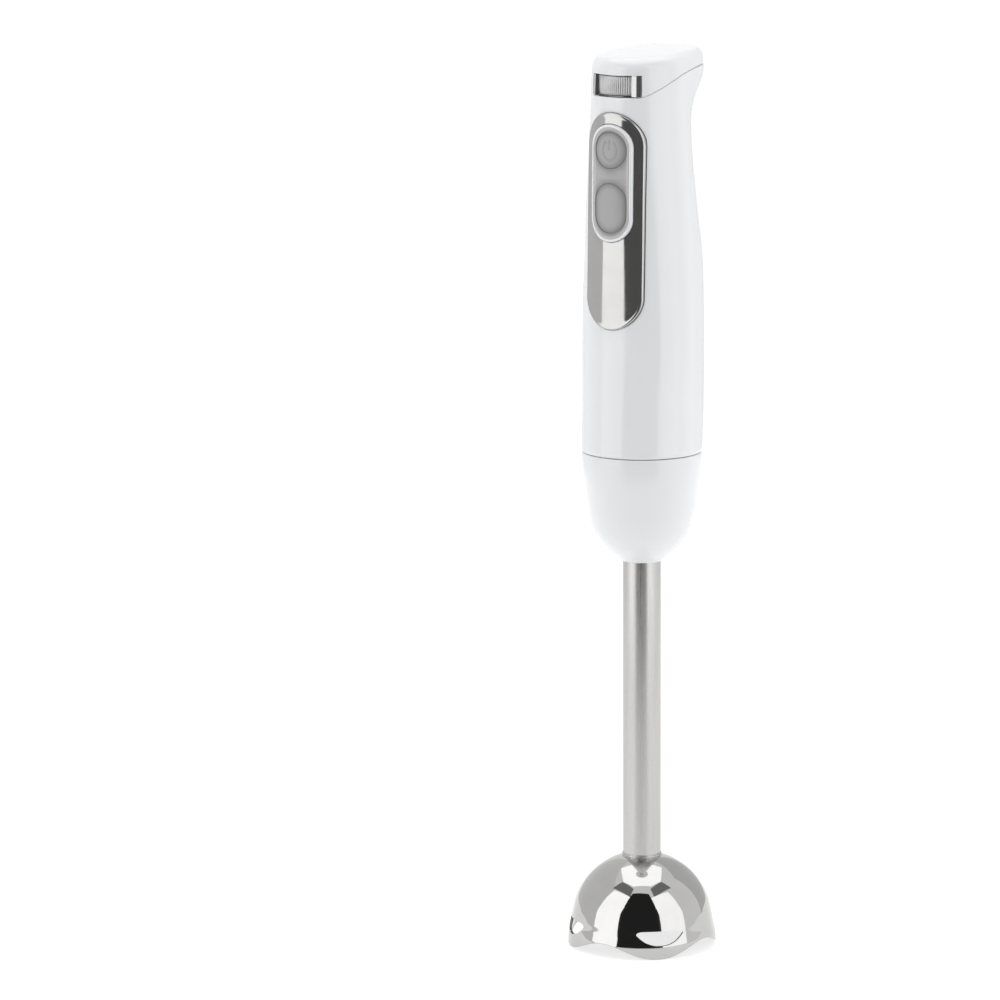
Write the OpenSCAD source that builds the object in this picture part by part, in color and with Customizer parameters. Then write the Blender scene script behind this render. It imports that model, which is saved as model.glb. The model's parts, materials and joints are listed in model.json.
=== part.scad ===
// Immersion blender: a white motor handle with a chrome control strip, and a steel
// foot that twists and pulls off. The axis of the tool is +Z, the buttons face -Y and
// the lobes of the bell guard stand on z = 0. All sizes are in millimetres.

/* [Handle shell] */
// Thickness of the moulded handle sleeve
shell_t = 2.2; // [1.8:0.1:2.4]
// Thickness of the top cap's wall
cap_t = 2; // [1.6:0.1:2.4]
// Open line between the sleeve and the top cap
seam_gap = 0.3; // [0.2:0.05:0.5]

/* [Controls] */
// Width of the chrome control strip
trim_w = 27.5; // [26:0.5:28.5]
// Height of the chrome control strip
trim_h = 90; // [86:1:90]
// Width of the soft pad that frames the two buttons
bezel_w = 20; // [19.5:0.1:20.6]
// Height of the soft pad that frames the two buttons
bezel_h = 49; // [48:0.5:50]
// Radius of the round power button
power_r = 7.6; // [7:0.1:7.7]
// Straight length between the round ends of the turbo button
turbo_l = 5.4; // [4:0.2:6]
// Open line round each button
button_gap = 0.3; // [0.25:0.05:0.4]
// How deep a button is pressed
button_travel = 1.2; // [0.8:0.1:1.3]
// Ribs round the speed wheel
dial_ribs = 72; // [48:12:96]

/* [Foot] */
// Outer diameter of the steel tube
tube_d = 16; // [15.6:0.1:16.2]
// Wall of the steel tube
tube_t = 0.8; // [0.6:0.1:1]
// Sheet thickness of the bell guard
bell_t = 1.2; // [1:0.1:1.5]
// Height of the arches between the lobes of the bell
arch_h = 5.6; // [4:0.2:6.4]
// Reach of each blade wing from the axis
blade_r = 21.5; // [18:0.5:22.5]
// Thickness of the blade
blade_t = 1.4; // [1:0.1:2]

/* [Motor] */
// Radius of the stator stack
stator_r = 19.2; // [18.8:0.1:19.3]
// Radius of the spinning core
core_r = 11.4; // [11:0.1:11.6]
// Slots in the spinning core
core_slots = 12; // [8:2:12]
// Bars of the commutator
commutator_bars = 24; // [12:12:24]
// Vanes of the cooling fan
fan_vanes = 9; // [7:1:11]

/* [Hidden] */
$fn = 64;

// Height of the line between handle and foot
seam_z = 212;
// Centre heights of the two buttons and of the parts round them
power_z = 340.1;
turbo_z = 316.2;
bezel_z = 326.5;
trim_z = 310.6;
// Height of the cap's seam at the front, and how far it climbs to the rear
seam_front = 362;
seam_rise = 11.5;
// Height range of the window for the speed wheel, and half its angle
window_lo = 362.4;
window_hi = 370.7;
window_a = 35;
// Radius of the speed wheel, the room kept round it, and its centre
wheel_r = 18.6;
wheel_room = 19;
wheel_y = -2.3;
// Bayonet: radii of hub, lugs, ring and channel, and the angles they sit at
hub_r = 12.8;
lug_r = 15.6;
lug_a = 36;
ring_in = 13.4;
ring_out = 17.6;
channel_r = 18;
base_r = 22.4;
// Motor heights: fan, lower bracket, stator, commutator, upper bracket
fan_z = 230.5;
low_bracket_z = 240;
stator_z = 253;
stator_h = 28;
commutator_z = 290.5;
up_bracket_z = 287.6;
shaft_r = 2.5;
bolt_r = 17.75;
bolt_a = 40;
// Board that carries the two switches: its front face and thickness
board_y = -10;
board_t = 1.6;
screw_x = 11.5;
screw_z = [328, 350.5];
// Bell: sphere radius and the height of its centre
bell_r = 30;
bell_z = 9.2;
bell_flare = 2.6;
flare_z = 14;
tube_r = tube_d / 2;
columns = 48;

white = [0.93, 0.94, 0.95];
chrome = [0.8, 0.81, 0.83];
steel = [0.72, 0.73, 0.75];
grey = [0.62, 0.63, 0.64];
dark = [0.16, 0.16, 0.17];
copper = [0.72, 0.4, 0.2];
brass = [0.8, 0.66, 0.34];
green = [0.1, 0.35, 0.2];

// ---- shape of the handle ----
// Rows of height, depth in front of the axis, depth behind it, half width
skin = [
  [212, 25.3, 25.3, 25.3],
  [232, 24.8, 26.8, 25.1],
  [258, 23.9, 26.8, 25.4],
  [280, 23.6, 26.9, 24.9],
  [296, 23.4, 26.3, 24.1],
  [309, 23.3, 24, 23.6],
  [321, 23.3, 21.8, 22.9],
  [331, 23.25, 20, 22.2],
  [340, 23.2, 19.2, 21.6],
  [350, 23.1, 19.8, 21],
  [357, 22.9, 22, 20.6],
  [363, 22.6, 25.6, 20.5],
  [367, 22.5, 28.9, 20.5],
  [371, 22.2, 30.2, 20.2],
  [375, 21.6, 30, 19.6],
  [382, 20.8, 29, 18.8]
];

function clamp01(t) = min(1, max(0, t));
function row_of(z, i = 0) = (i >= len(skin) - 2 || z < skin[i + 1][0]) ? i : row_of(z, i + 1);
function slope_of(i, c) =
  let (lo = max(0, i - 1), hi = min(len(skin) - 1, i + 1))
  (skin[hi][c] - skin[lo][c]) / (skin[hi][0] - skin[lo][0]);
// Smooth curve through one column of the rows above
function skin_at(z, c) =
  let (i = row_of(z), h = skin[i + 1][0] - skin[i][0], t = (z - skin[i][0]) / h)
  (2 * pow(t, 3) - 3 * pow(t, 2) + 1) * skin[i][c]
  + (pow(t, 3) - 2 * pow(t, 2) + t) * h * slope_of(i, c)
  + (3 * pow(t, 2) - 2 * pow(t, 3)) * skin[i + 1][c]
  + (pow(t, 3) - pow(t, 2)) * h * slope_of(i + 1, c);
// Point of the skin at a height, an angle from the front and an offset outwards
function skin_pt(z, a, off) =
  let (
    w = skin_at(z, 3) + off,
    rear = cos(a) < 0,
    d = skin_at(z, rear ? 2 : 1) + off,
    n = rear ? 2 + 1.4 * max(0, d / w - 1) : 2
  )
  [w * sign(sin(a)) * pow(abs(sin(a)), 2 / n), -d * sign(cos(a)) * pow(abs(cos(a)), 2 / n), z];
// Height of the line between sleeve and cap, which climbs towards the rear
function seam_at(y) = seam_front + seam_rise * (1 - exp(-pow(max(0, y + 18.5) / 14.5, 1.25)));

// Two grids of points, outer P and inner Q, joined into one closed body
module between(P, Q, wrap) {
  m = len(P);
  n = len(P[0]);
  k = m * n;
  last = wrap ? n - 1 : n - 2;
  quads = concat(
    [for (i = [0:m - 2], j = [0:last])
      [i * n + j, (i + 1) * n + j, (i + 1) * n + (j + 1) % n, i * n + (j + 1) % n]],
    [for (i = [0:m - 2], j = [0:last])
      [k + i * n + j, k + i * n + (j + 1) % n, k + (i + 1) * n + (j + 1) % n, k + (i + 1) * n + j]],
    [for (j = [0:last])
      [(m - 1) * n + j, k + (m - 1) * n + j, k + (m - 1) * n + (j + 1) % n, (m - 1) * n + (j + 1) % n]],
    [for (j = [0:last]) [j, (j + 1) % n, k + (j + 1) % n, k + j]],
    wrap ? [] : [for (i = [0:m - 2]) [k + i * n, k + (i + 1) * n, (i + 1) * n, i * n]],
    wrap ? [] : [for (i = [0:m - 2])
      [i * n + n - 1, (i + 1) * n + n - 1, k + (i + 1) * n + n - 1, k + i * n + n - 1]]
  );
  polyhedron(
    points = concat([for (r = P, p = r) p], [for (r = Q, p = r) p]),
    faces = [for (q = quads, s = [0, 1]) s == 0 ? [q[0], q[1], q[2]] : [q[0], q[2], q[3]]]
  );
}

// Block of the handle's skin between two heights, two angles and two offsets
module skin_block(z0, z1, a0, a1, inner, outer, nz, na) {
  function grid(off) = [for (i = [0:nz]) [for (j = [0:na])
    skin_pt(z0 + (z1 - z0) * i / nz, a0 + (a1 - a0) * j / na, off)]];
  between(grid(outer), grid(inner), false);
}

// Point of the sleeve: u runs from the foot seam to the cap seam
function sleeve_pt(u, a, off) =
  let (
    guess = skin_pt(seam_z + u * 155, a, off),
    z = seam_z + u * (seam_at(guess[1]) - seam_gap - seam_z)
  )
  skin_pt(z, a, off);

// Point of the cap's outer or inner face: u runs from the seam, over the rounded edge, to the middle
function cap_top(y) = 377.6 + 0.06 * (y + 20);
function cap_pt(i, levels, a, off) =
  let (
    base = skin_pt(367, a, off),
    z0 = seam_at(base[1]),
    top = cap_top(base[1]) + off,
    back = (1 - cos(a)) / 2,
    round_r = 5.5 - 1.3 * back + off,
    mid = 4.5,
    edge = levels[0],
    wall_n = levels[1],
    u = min(1, i / wall_n),
    b = clamp01((i - wall_n) / edge) * 90,
    f = clamp01((i - wall_n - edge) / (levels[2])),
    z = z0 + u * (top - round_r - z0),
    p = skin_pt(z, a, off),
    len_p = norm([p[0], p[1] - mid]),
    pull = i <= wall_n ? 0 : round_r * (1 - cos(b)),
    s = (len_p - pull) / len_p * (1 - 0.97 * f)
  )
  [p[0] * s, mid + (p[1] - mid) * s,
    i <= wall_n ? z : top - round_r + round_r * sin(b) + 0.9 * (1 - pow(1 - 0.97 * f, 2))
      + (cap_top(mid + (p[1] - mid) * s) - cap_top(p[1]))];

module flat_stadium(w, h) {
  reach = (h - w) / 2;
  union() {
    translate([0, reach]) circle(d = w);
    translate([0, -reach]) circle(d = w);
    square([w, 2 * reach], center = true);
  }
}

// Prism that runs out of the front of the handle, centred at height z
module front_prism(z, from, to) {
  translate([0, 0, z])
    rotate([90, 0, 0])
      translate([0, 0, from])
        linear_extrude(height = to - from) children();
}

module ring(z0, z1, r_in, r_out) {
  difference() {
    translate([0, 0, z0]) cylinder(r = r_out, h = z1 - z0);
    translate([0, 0, z0 - 1]) cylinder(r = r_in, h = z1 - z0 + 2);
  }
}

module disc(z0, z1, r) {
  translate([0, 0, z0]) cylinder(r = r, h = z1 - z0);
}

module at_wheel() {
  translate([0, wheel_y, 0]) children();
}

// Part of a ring between two angles, measured from +X
module arc_block(z0, z1, r_in, r_out, a0, a1) {
  translate([0, 0, z0])
    rotate([0, 0, a0])
      rotate_extrude(angle = a1 - a0)
        translate([r_in, 0]) square([r_out - r_in, z1 - z0]);
}

// Coil spring along +Z from the origin
module coil(mean_r, wire_r, length, turns) {
  steps = 14 * turns;
  sides = 6;
  pts = [for (i = [0:steps], j = [0:sides - 1])
    let (
      a = 360 * turns * i / steps,
      b = 360 * j / sides,
      r = mean_r + wire_r * cos(b)
    )
    [r * cos(a), r * sin(a), wire_r + (length - 2 * wire_r) * i / steps + wire_r * sin(b)]];
  side_faces = [for (i = [0:steps - 1], j = [0:sides - 1], s = [0, 1])
    let (
      p = i * sides + j,
      q = i * sides + (j + 1) % sides,
      r = (i + 1) * sides + (j + 1) % sides,
      t = (i + 1) * sides + j
    )
    s == 0 ? [p, q, r] : [p, r, t]];
  ends = concat(
    [for (j = [1:sides - 2]) [0, j + 1, j]],
    [for (j = [1:sides - 2]) [steps * sides, steps * sides + j, steps * sides + j + 1]]
  );
  polyhedron(points = pts, faces = concat(side_faces, ends));
}

// ---- handle shell ----
module housing() {
  levels = 18;
  post_len = 6.5;
  color(white)
    difference() {
      union() {
        between(
          [for (i = [0:levels]) [for (j = [0:columns - 1]) sleeve_pt(i / levels, 360 * j / columns, 0)]],
          [for (i = [0:levels]) [for (j = [0:columns - 1])
            sleeve_pt(i / levels, 360 * j / columns, -shell_t)]],
          true
        );
        for (x = [-screw_x, screw_x], z = screw_z)
          translate([x, 0, z])
            rotate([90, 0, 0])
              translate([0, 0, 10.1]) cylinder(r = 2, h = post_len, $fn = 32);
      }
      front_prism(power_z, 12, 30) circle(r = power_r + button_gap);
      front_prism(turbo_z, 12, 30)
        flat_stadium(2 * (power_r + button_gap), turbo_l + 2 * (power_r + button_gap));
      for (z = [272, 290]) front_prism(z, 15, 30) circle(r = 1.4, $fn = 24);
      for (x = [-screw_x, screw_x], z = screw_z)
        translate([x, 0, z])
          rotate([90, 0, 0])
            translate([0, 0, 9]) cylinder(r = 1.05, h = 6, $fn = 24);
      at_wheel() disc(window_lo + 0.2, 376, wheel_room);
    }
}

module top_cap() {
  levels = [5, 3, 4];
  total = levels[0] + levels[1] + levels[2];
  outer = [for (i = [0:total]) [for (j = [0:columns - 1]) cap_pt(i, levels, 360 * j / columns, 0)]];
  inner = [for (i = [0:total]) [for (j = [0:columns - 1]) cap_pt(i, levels, 360 * j / columns, -cap_t)]];
  n = columns;
  k = (total + 1) * n;
  points = concat(
    [for (r = outer, p = r) p],
    [for (r = inner, p = r) p],
    [[0, outer[total][0][1] / 2 + outer[total][n / 2][1] / 2, outer[total][n / 4][2]]],
    [[0, inner[total][0][1] / 2 + inner[total][n / 2][1] / 2, inner[total][n / 4][2]]]
  );
  quads = concat(
    [for (i = [0:total - 1], j = [0:n - 1])
      [i * n + j, (i + 1) * n + j, (i + 1) * n + (j + 1) % n, i * n + (j + 1) % n]],
    [for (i = [0:total - 1], j = [0:n - 1])
      [k + i * n + j, k + i * n + (j + 1) % n, k + (i + 1) * n + (j + 1) % n, k + (i + 1) * n + j]],
    [for (j = [0:n - 1]) [j, (j + 1) % n, k + (j + 1) % n, k + j]]
  );
  fans = concat(
    [for (j = [0:n - 1]) [total * n + j, 2 * k, total * n + (j + 1) % n]],
    [for (j = [0:n - 1]) [k + total * n + j, k + total * n + (j + 1) % n, 2 * k + 1]]
  );
  color(white)
    difference() {
      polyhedron(
        points = points,
        faces = concat(
          [for (q = quads, s = [0, 1]) s == 0 ? [q[0], q[1], q[2]] : [q[0], q[2], q[3]]],
          fans
        )
      );
      intersection() {
        skin_block(358, window_hi + 0.2, -window_a - 0.6, window_a + 0.6, -6, 3, 3, 8);
        translate([-30, -30, 355]) cube([60, 30, window_hi + 0.2 - 355]);
      }
      at_wheel() disc(355, window_hi, wheel_room);
      cord_axis() translate([0, 0, -12]) cylinder(r = gland_r + 0.1, h = 30);
    }
}

// Axis of the cord's outlet on the rear shoulder of the cap
gland_r = 4.2;
gland_bore = 3.3;
gland_in = -6;
gland_out = 2.2;
module cord_axis() {
  translate([0, 24.5, 375.9]) rotate([-45, 0, 0]) children();
}

module cord_gland() {
  color(dark)
    cord_axis()
      difference() {
        union() {
          translate([0, 0, gland_in]) cylinder(r = gland_r, h = gland_out - gland_in);
          translate([0, 0, gland_in]) cylinder(r = gland_r + 1, h = 1.6);
        }
        translate([0, 0, gland_in - 1]) cylinder(r = gland_bore, h = gland_out - gland_in + 2);
      }
}

module dial_frame() {
  open_a = 27;
  color(chrome)
    difference() {
      skin_block(window_lo, window_hi, -window_a, window_a, -0.7, 0.35, 3, 20);
      intersection() {
        skin_block(window_lo + 1.1, window_hi - 1.1, -open_a, open_a, -4, 3, 2, 10);
        translate([-30, -30, 350]) cube([60, 30, 30]);
      }
    }
}

module trim_plate() {
  stud_r = 1.2;
  color(chrome) {
    intersection() {
      skin_block(264, 357, -46, 46, 0.1, 1.1, 16, 22);
      difference() {
        front_prism(trim_z, 10, 32) flat_stadium(trim_w, trim_h);
        front_prism(bezel_z, 8, 34) flat_stadium(bezel_w + 0.4, bezel_h + 0.4);
      }
    }
    for (z = [272, 290])
      front_prism(z, 20.5, skin_at(z, 1) + 0.6) circle(r = stud_r, $fn = 24);
  }
}

module button_bezel() {
  color(grey)
    intersection() {
      skin_block(300, 353, -34, 34, 0.1, 1.7, 10, 16);
      difference() {
        front_prism(bezel_z, 10, 32) flat_stadium(bezel_w, bezel_h);
        front_prism(power_z, 8, 34) circle(r = power_r + button_gap);
        front_prism(turbo_z, 8, 34)
          flat_stadium(2 * (power_r + button_gap), turbo_l + 2 * (power_r + button_gap));
      }
    }
}

// Button with a curved face, a flange behind the sleeve's wall and a stem to its switch
module button_body(z, w, h, proud) {
  lip = 1.2;
  stem_end = 15.6;
  half = h / 2 + lip + 1;
  color(grey) {
    intersection() {
      skin_block(z - half, z + half, -36, 36, -3.6, proud, 5, 14);
      front_prism(z, 10, 32) flat_stadium(w, h + 0.001);
    }
    intersection() {
      skin_block(z - half, z + half, -44, 44, -4.4, -2.8, 5, 14);
      front_prism(z, 10, 32) flat_stadium(w + 2 * lip, h + 2 * lip + 0.001);
    }
    front_prism(z, stem_end, skin_at(z, 1) - 3.2) circle(r = 2.2, $fn = 32);
  }
}

module power_button() {
  button_body(power_z, 2 * power_r, 2 * power_r, 1.9);
}

module turbo_button() {
  button_body(turbo_z, 2 * power_r, turbo_l + 2 * power_r, 1.9);
}

module power_spring() {
  color(steel)
    translate([0, board_y - 0.2, power_z]) rotate([90, 0, 0]) coil(5.2, 0.35, 6.8, 4);
}

module turbo_spring() {
  color(steel)
    translate([0, board_y - 0.2, turbo_z]) rotate([90, 0, 0]) coil(5.2, 0.35, 7, 4);
}

// ---- speed wheel ----
module speed_dial() {
  rim_t = 2.2;
  color(grey) at_wheel() {
    difference() {
      translate([0, 0, window_lo + 0.7])
        linear_extrude(height = window_hi - window_lo - 1.4)
          polygon([for (i = [0:2 * dial_ribs - 1])
            let (a = 180 * i / dial_ribs, r = i % 2 == 0 ? wheel_r : wheel_r - 0.4)
            [r * cos(a), r * sin(a)]]);
      disc(window_lo, window_hi, wheel_r - rim_t);
    }
    ring(window_lo + 0.7, window_lo + 2.5, 3.05, wheel_r - rim_t + 0.3);
    ring(window_lo + 0.7, window_hi - 1, 3.05, 5.5);
  }
}

module dial_shaft() {
  color(steel)
    at_wheel() disc(357.4, window_hi - 1.2, 3);
}

module speed_potentiometer() {
  color(dark)
    at_wheel()
      difference() {
        union() {
          disc(349, 355.5, 5.9);
          disc(355.5, 358.8, 4.4);
        }
        disc(356.9, 360, 3.06);
      }
}

// Deck across the top of the sleeve that holds the potentiometer
module dial_carrier() {
  color(dark)
    difference() {
      intersection() {
        disc(355.7, 357.3, 17.6);
        translate([-30, -8.2, 350]) cube([60, 40, 20]);
      }
      at_wheel() disc(355, 358, 4.5);
    }
}

// ---- board ----
module switch_board() {
  color(green)
    difference() {
      translate([-14.6, board_y, 311]) cube([29.2, board_t, 41.8]);
      for (x = [-screw_x, screw_x], z = screw_z)
        translate([x, board_y + 3, z]) rotate([90, 0, 0]) cylinder(r = 1.35, h = 5, $fn = 24);
    }
}

// Snap switch with its plunger towards the button
module snap_switch(z) {
  body_w = 6.2;
  body_d = 3;
  color(dark)
    translate([-body_w / 2, board_y - 0.05 - body_d, z - body_w / 2]) cube([body_w, body_d, body_w]);
  color(grey)
    front_prism(z, 12.9, 14) circle(r = 1.7, $fn = 24);
}

module power_switch() {
  snap_switch(power_z);
}

module turbo_switch() {
  snap_switch(turbo_z);
}

module suppressor_capacitor() {
  color([0.75, 0.6, 0.15])
    translate([-6, board_y + board_t + 0.05, 318]) cube([12, 6.5, 15]);
}

module board_screws() {
  color(steel)
    for (x = [-screw_x, screw_x], z = screw_z)
      translate([x, board_y + board_t + 0.05, z])
        rotate([90, 0, 0]) {
          translate([0, 0, -1.4]) cylinder(r = 2.1, h = 1.4, $fn = 24);
          translate([0, 0, -0.2]) cylinder(r = 1, h = 6.6, $fn = 24);
        }
}

// ---- motor ----
module motor_chassis() {
  low_z = 229.15;
  hole_r = 1.4;
  head_room = 2.7;
  wall_in = 19.7;
  wall_out = 20.5;
  color(dark)
    difference() {
      union() {
        ring(low_z, low_z + 2, 16, base_r - 0.1);
        ring(low_z, 246, wall_in, wall_out + 0.8);
        ring(240, 301, wall_in, wall_out);
      }
      for (i = [0:3])
        rotate([0, 0, 90 * i])
          translate([14, -11, 249]) cube([12, 22, 34]);
      for (i = [0:2])
        rotate([0, 0, 30 + 120 * i])
          translate([20.3, 0, 0]) {
            disc(220, 240, hole_r);
            disc(low_z + 2, 236.5, head_room);
          }
    }
}

module damper_rings() {
  color(dark) {
    ring(240.5, 245, 21.35, 22.1);
    ring(294, 299, 20.55, 20.95);
  }
}

module stator_core() {
  color(steel)
    translate([0, 0, stator_z])
      linear_extrude(height = stator_h)
        difference() {
          circle(r = stator_r);
          circle(r = core_r + 0.5);
          for (s = [0, 180])
            rotate([0, 0, s])
              polygon(concat(
                [for (i = [0:10]) 16.7 * [cos(-35 + 7 * i), sin(-35 + 7 * i)]],
                [for (i = [0:10]) 12.7 * [cos(35 - 7 * i), sin(35 - 7 * i)]]
              ));
          for (s = [-1, 1])
            rotate([0, 0, s * bolt_a + 90]) translate([bolt_r, 0]) circle(r = 1.2, $fn = 24);
        }
}

module field_coils() {
  coil_in = 13.1;
  coil_out = 16.2;
  over = 5.2;
  color(copper)
    for (s = [0, 180])
      rotate([0, 0, s])
        difference() {
          arc_block(stator_z - over, stator_z + stator_h + over, coil_in, coil_out, 4, 176);
          arc_block(stator_z - 0.3, stator_z + stator_h + 0.3, coil_in - 1, coil_out + 1, 32, 148);
        }
}

module upper_bracket() {
  plate_t = 2.4;
  bridge_z = 303;
  color(brass)
    difference() {
      union() {
        disc(up_bracket_z, up_bracket_z + plate_t, 19.4);
        for (s = [-1, 1])
          translate([-4, s * 13.5 - 1.5, up_bracket_z]) cube([8, 3, bridge_z + 4 - up_bracket_z]);
        translate([-4, -14, bridge_z]) cube([8, 28, 4]);
        disc(bridge_z, bridge_z + 4, 7);
      }
      disc(280, 300, 9);
      disc(bridge_z - 1, bridge_z + 5, 5.05);
      for (s = [-1, 1])
        rotate([0, 0, s * bolt_a + 90]) translate([bolt_r, 0, 0]) disc(280, 295, 1.2);
    }
}

module lower_bracket() {
  plate_t = 2.6;
  color(brass)
    difference() {
      union() {
        disc(low_bracket_z, low_bracket_z + plate_t, 19.4);
        disc(low_bracket_z, low_bracket_z + 5, 7);
      }
      disc(low_bracket_z - 1, low_bracket_z + 6, 5.05);
      for (a = [0:60:300])
        rotate([0, 0, a]) translate([12, 0, 0]) disc(low_bracket_z - 1, low_bracket_z + 4, 2.6);
      for (s = [-1, 1])
        rotate([0, 0, s * bolt_a + 90]) translate([bolt_r, 0, 0]) disc(230, 250, 1.2);
    }
}

module upper_bearing() {
  color(brass) ring(303.2, 306.8, shaft_r + 0.05, 5);
}

module lower_bearing() {
  color(brass) ring(low_bracket_z + 0.2, low_bracket_z + 4.8, shaft_r + 0.05, 5);
}

module through_bolts() {
  head_z = up_bracket_z + 2.45;
  color(steel)
    for (s = [-1, 1])
      rotate([0, 0, s * bolt_a + 90])
        translate([bolt_r, 0, 0]) {
          disc(low_bracket_z - 0.8, head_z + 0.5, 1.1);
          disc(head_z, head_z + 1.8, 1.75);
        }
}

// Everything on the two sides of the commutator
module both_sides() {
  for (s = [0, 180]) rotate([0, 0, s]) children();
}

module brush_holders() {
  color(brass)
    both_sides()
      difference() {
        translate([9.2, -3.7, 290.1]) cube([10, 7.4, 9.2]);
        translate([8, -2.6, 291.2]) cube([10, 5.2, 7]);
      }
}

module carbon_brushes() {
  color(dark)
    both_sides()
      difference() {
        translate([5, -2.5, 291.3]) cube([8, 5, 6.8]);
        disc(290, 300, 6.4 + 0.3);
      }
}

module brush_springs() {
  color(steel)
    both_sides()
      translate([13.2, 0, 294.7]) rotate([0, 90, 0]) coil(1.9, 0.25, 4.6, 5);
}

module motor_base() {
  floor_z = seam_z + 0.3;
  ledge_top = 216;
  roof_z = 226;
  top_z = 229;
  lug_room = 24;
  color(dark)
    difference() {
      disc(floor_z, top_z, base_r);
      disc(floor_z - 1, roof_z, hub_r + 0.5);
      disc(ledge_top, roof_z, channel_r);
      disc(roof_z - 1, top_z + 1, 7);
      for (i = [0:2])
        arc_block(floor_z - 1, ledge_top + 1, 6, lug_r + 0.5, 120 * i - lug_room, 120 * i + lug_room);
      for (i = [0:2])
        rotate([0, 0, 30 + 120 * i]) translate([20.3, 0, 0]) disc(217, top_z + 1, 1.1);
    }
}

module base_screws() {
  color(steel)
    for (i = [0:2])
      rotate([0, 0, 30 + 120 * i])
        translate([20.3, 0, 0]) {
          disc(217.5, 232, 1.05);
          disc(231.2, 233.2, 2.1);
        }
}

// ---- spinning parts of the motor ----
module armature_shaft() {
  color(steel) disc(213, 309, shaft_r);
}

module armature_core() {
  color(steel)
    translate([0, 0, stator_z])
      linear_extrude(height = stator_h)
        difference() {
          circle(r = core_r);
          circle(r = shaft_r + 0.02);
          for (i = [0:core_slots - 1])
            rotate([0, 0, 360 * i / core_slots]) {
              translate([8.6, 0]) circle(r = 1.4, $fn = 24);
              translate([8.6, -0.6]) square([4, 1.2]);
            }
        }
}

module armature_winding() {
  color(copper) {
    for (i = [0:core_slots - 1])
      rotate([0, 0, 360 * i / core_slots])
        translate([8.6, 0, 0]) disc(stator_z - 1, stator_z + stator_h + 1, 1.25);
    for (z = [stator_z - 4.6, stator_z + stator_h + 0.2])
      ring(z, z + 4.4, shaft_r + 0.5, 10.2);
  }
}

module commutator() {
  bar_r = 6.4;
  color(copper)
    translate([0, 0, commutator_z])
      linear_extrude(height = 9)
        difference() {
          circle(r = bar_r);
          circle(r = shaft_r + 0.02);
          for (i = [0:commutator_bars - 1])
            rotate([0, 0, 360 * i / commutator_bars]) translate([5.2, -0.2]) square([2, 0.4]);
        }
}

module cooling_fan() {
  fan_r = 14.8;
  color(white)
    difference() {
      union() {
        disc(fan_z + 6, fan_z + 7.4, fan_r);
        disc(fan_z, fan_z + 7, 4.6);
        for (i = [0:fan_vanes - 1])
          rotate([0, 0, 360 * i / fan_vanes])
            translate([4, -0.6, fan_z]) cube([fan_r - 4.4, 1.2, 7]);
      }
      disc(fan_z - 1, fan_z + 9, shaft_r + 0.02);
    }
}

// Winged dog on the end of the motor shaft
module drive_dog() {
  wing_r = 5.4;
  color(steel) {
    difference() {
      union() {
        disc(209, 224, 3.9);
        for (s = [0, 180]) arc_block(209, 218, 3.5, wing_r, s - 12, s + 12);
      }
      disc(212.9, 225, shaft_r + 0.02);
    }
  }
}

// ---- foot ----
// Sprung click ring that the foot's lugs turn inside the socket
module lock_ring() {
  color(steel)
    difference() {
      ring(216.3, 222, ring_in, ring_out);
      for (i = [0:2])
        arc_block(215, 223, ring_in - 2, lug_r + 0.35, 120 * i - lug_a / 2 - 2, 120 * i + lug_a / 2 + 2);
    }
}

// Outer radius of the collar cup at a height
collar_rows = [[166, 9.2], [168.6, 12.4], [172, 16.2], [176.4, 19.3], [181, 21.2], [187, 22.6],
  [195, 23.6], [203, 24.75], [211.7, 25.25]];
module foot_collar() {
  wall = 2;
  bore_r = tube_r + 0.05;
  color(white)
    rotate_extrude()
      polygon(concat(
        [[bore_r, 165.3], [8.9, 165.3]],
        [for (r = collar_rows) [r[1], r[0]]],
        [[collar_rows[8][1] - wall, 211.7]],
        [for (i = [7:-1:3]) [collar_rows[i][1] - wall, collar_rows[i][0] + 0.8]],
        [[14.2, 174], [bore_r, 174]]
      ));
}

module bayonet_hub() {
  color(dark)
    difference() {
      union() {
        ring(174.2, 188, tube_r + 0.05, 13.6);
        ring(188, 191, 5.1, 13.6);
        ring(191, 224, 10.6, hub_r);
        ring(205, 209.6, hub_r - 0.2, 21);
        for (i = [0:2])
          arc_block(217, 221.4, hub_r - 0.3, lug_r, 120 * i - lug_a / 2, 120 * i + lug_a / 2);
      }
      for (i = [0:5])
        rotate([0, 0, 60 * i]) translate([17.2, 0, 0]) disc(204, 211, 2.2);
    }
}

module shaft_tube() {
  color(steel) ring(33.5, 187.8, tube_r - tube_t, tube_r);
}

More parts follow.
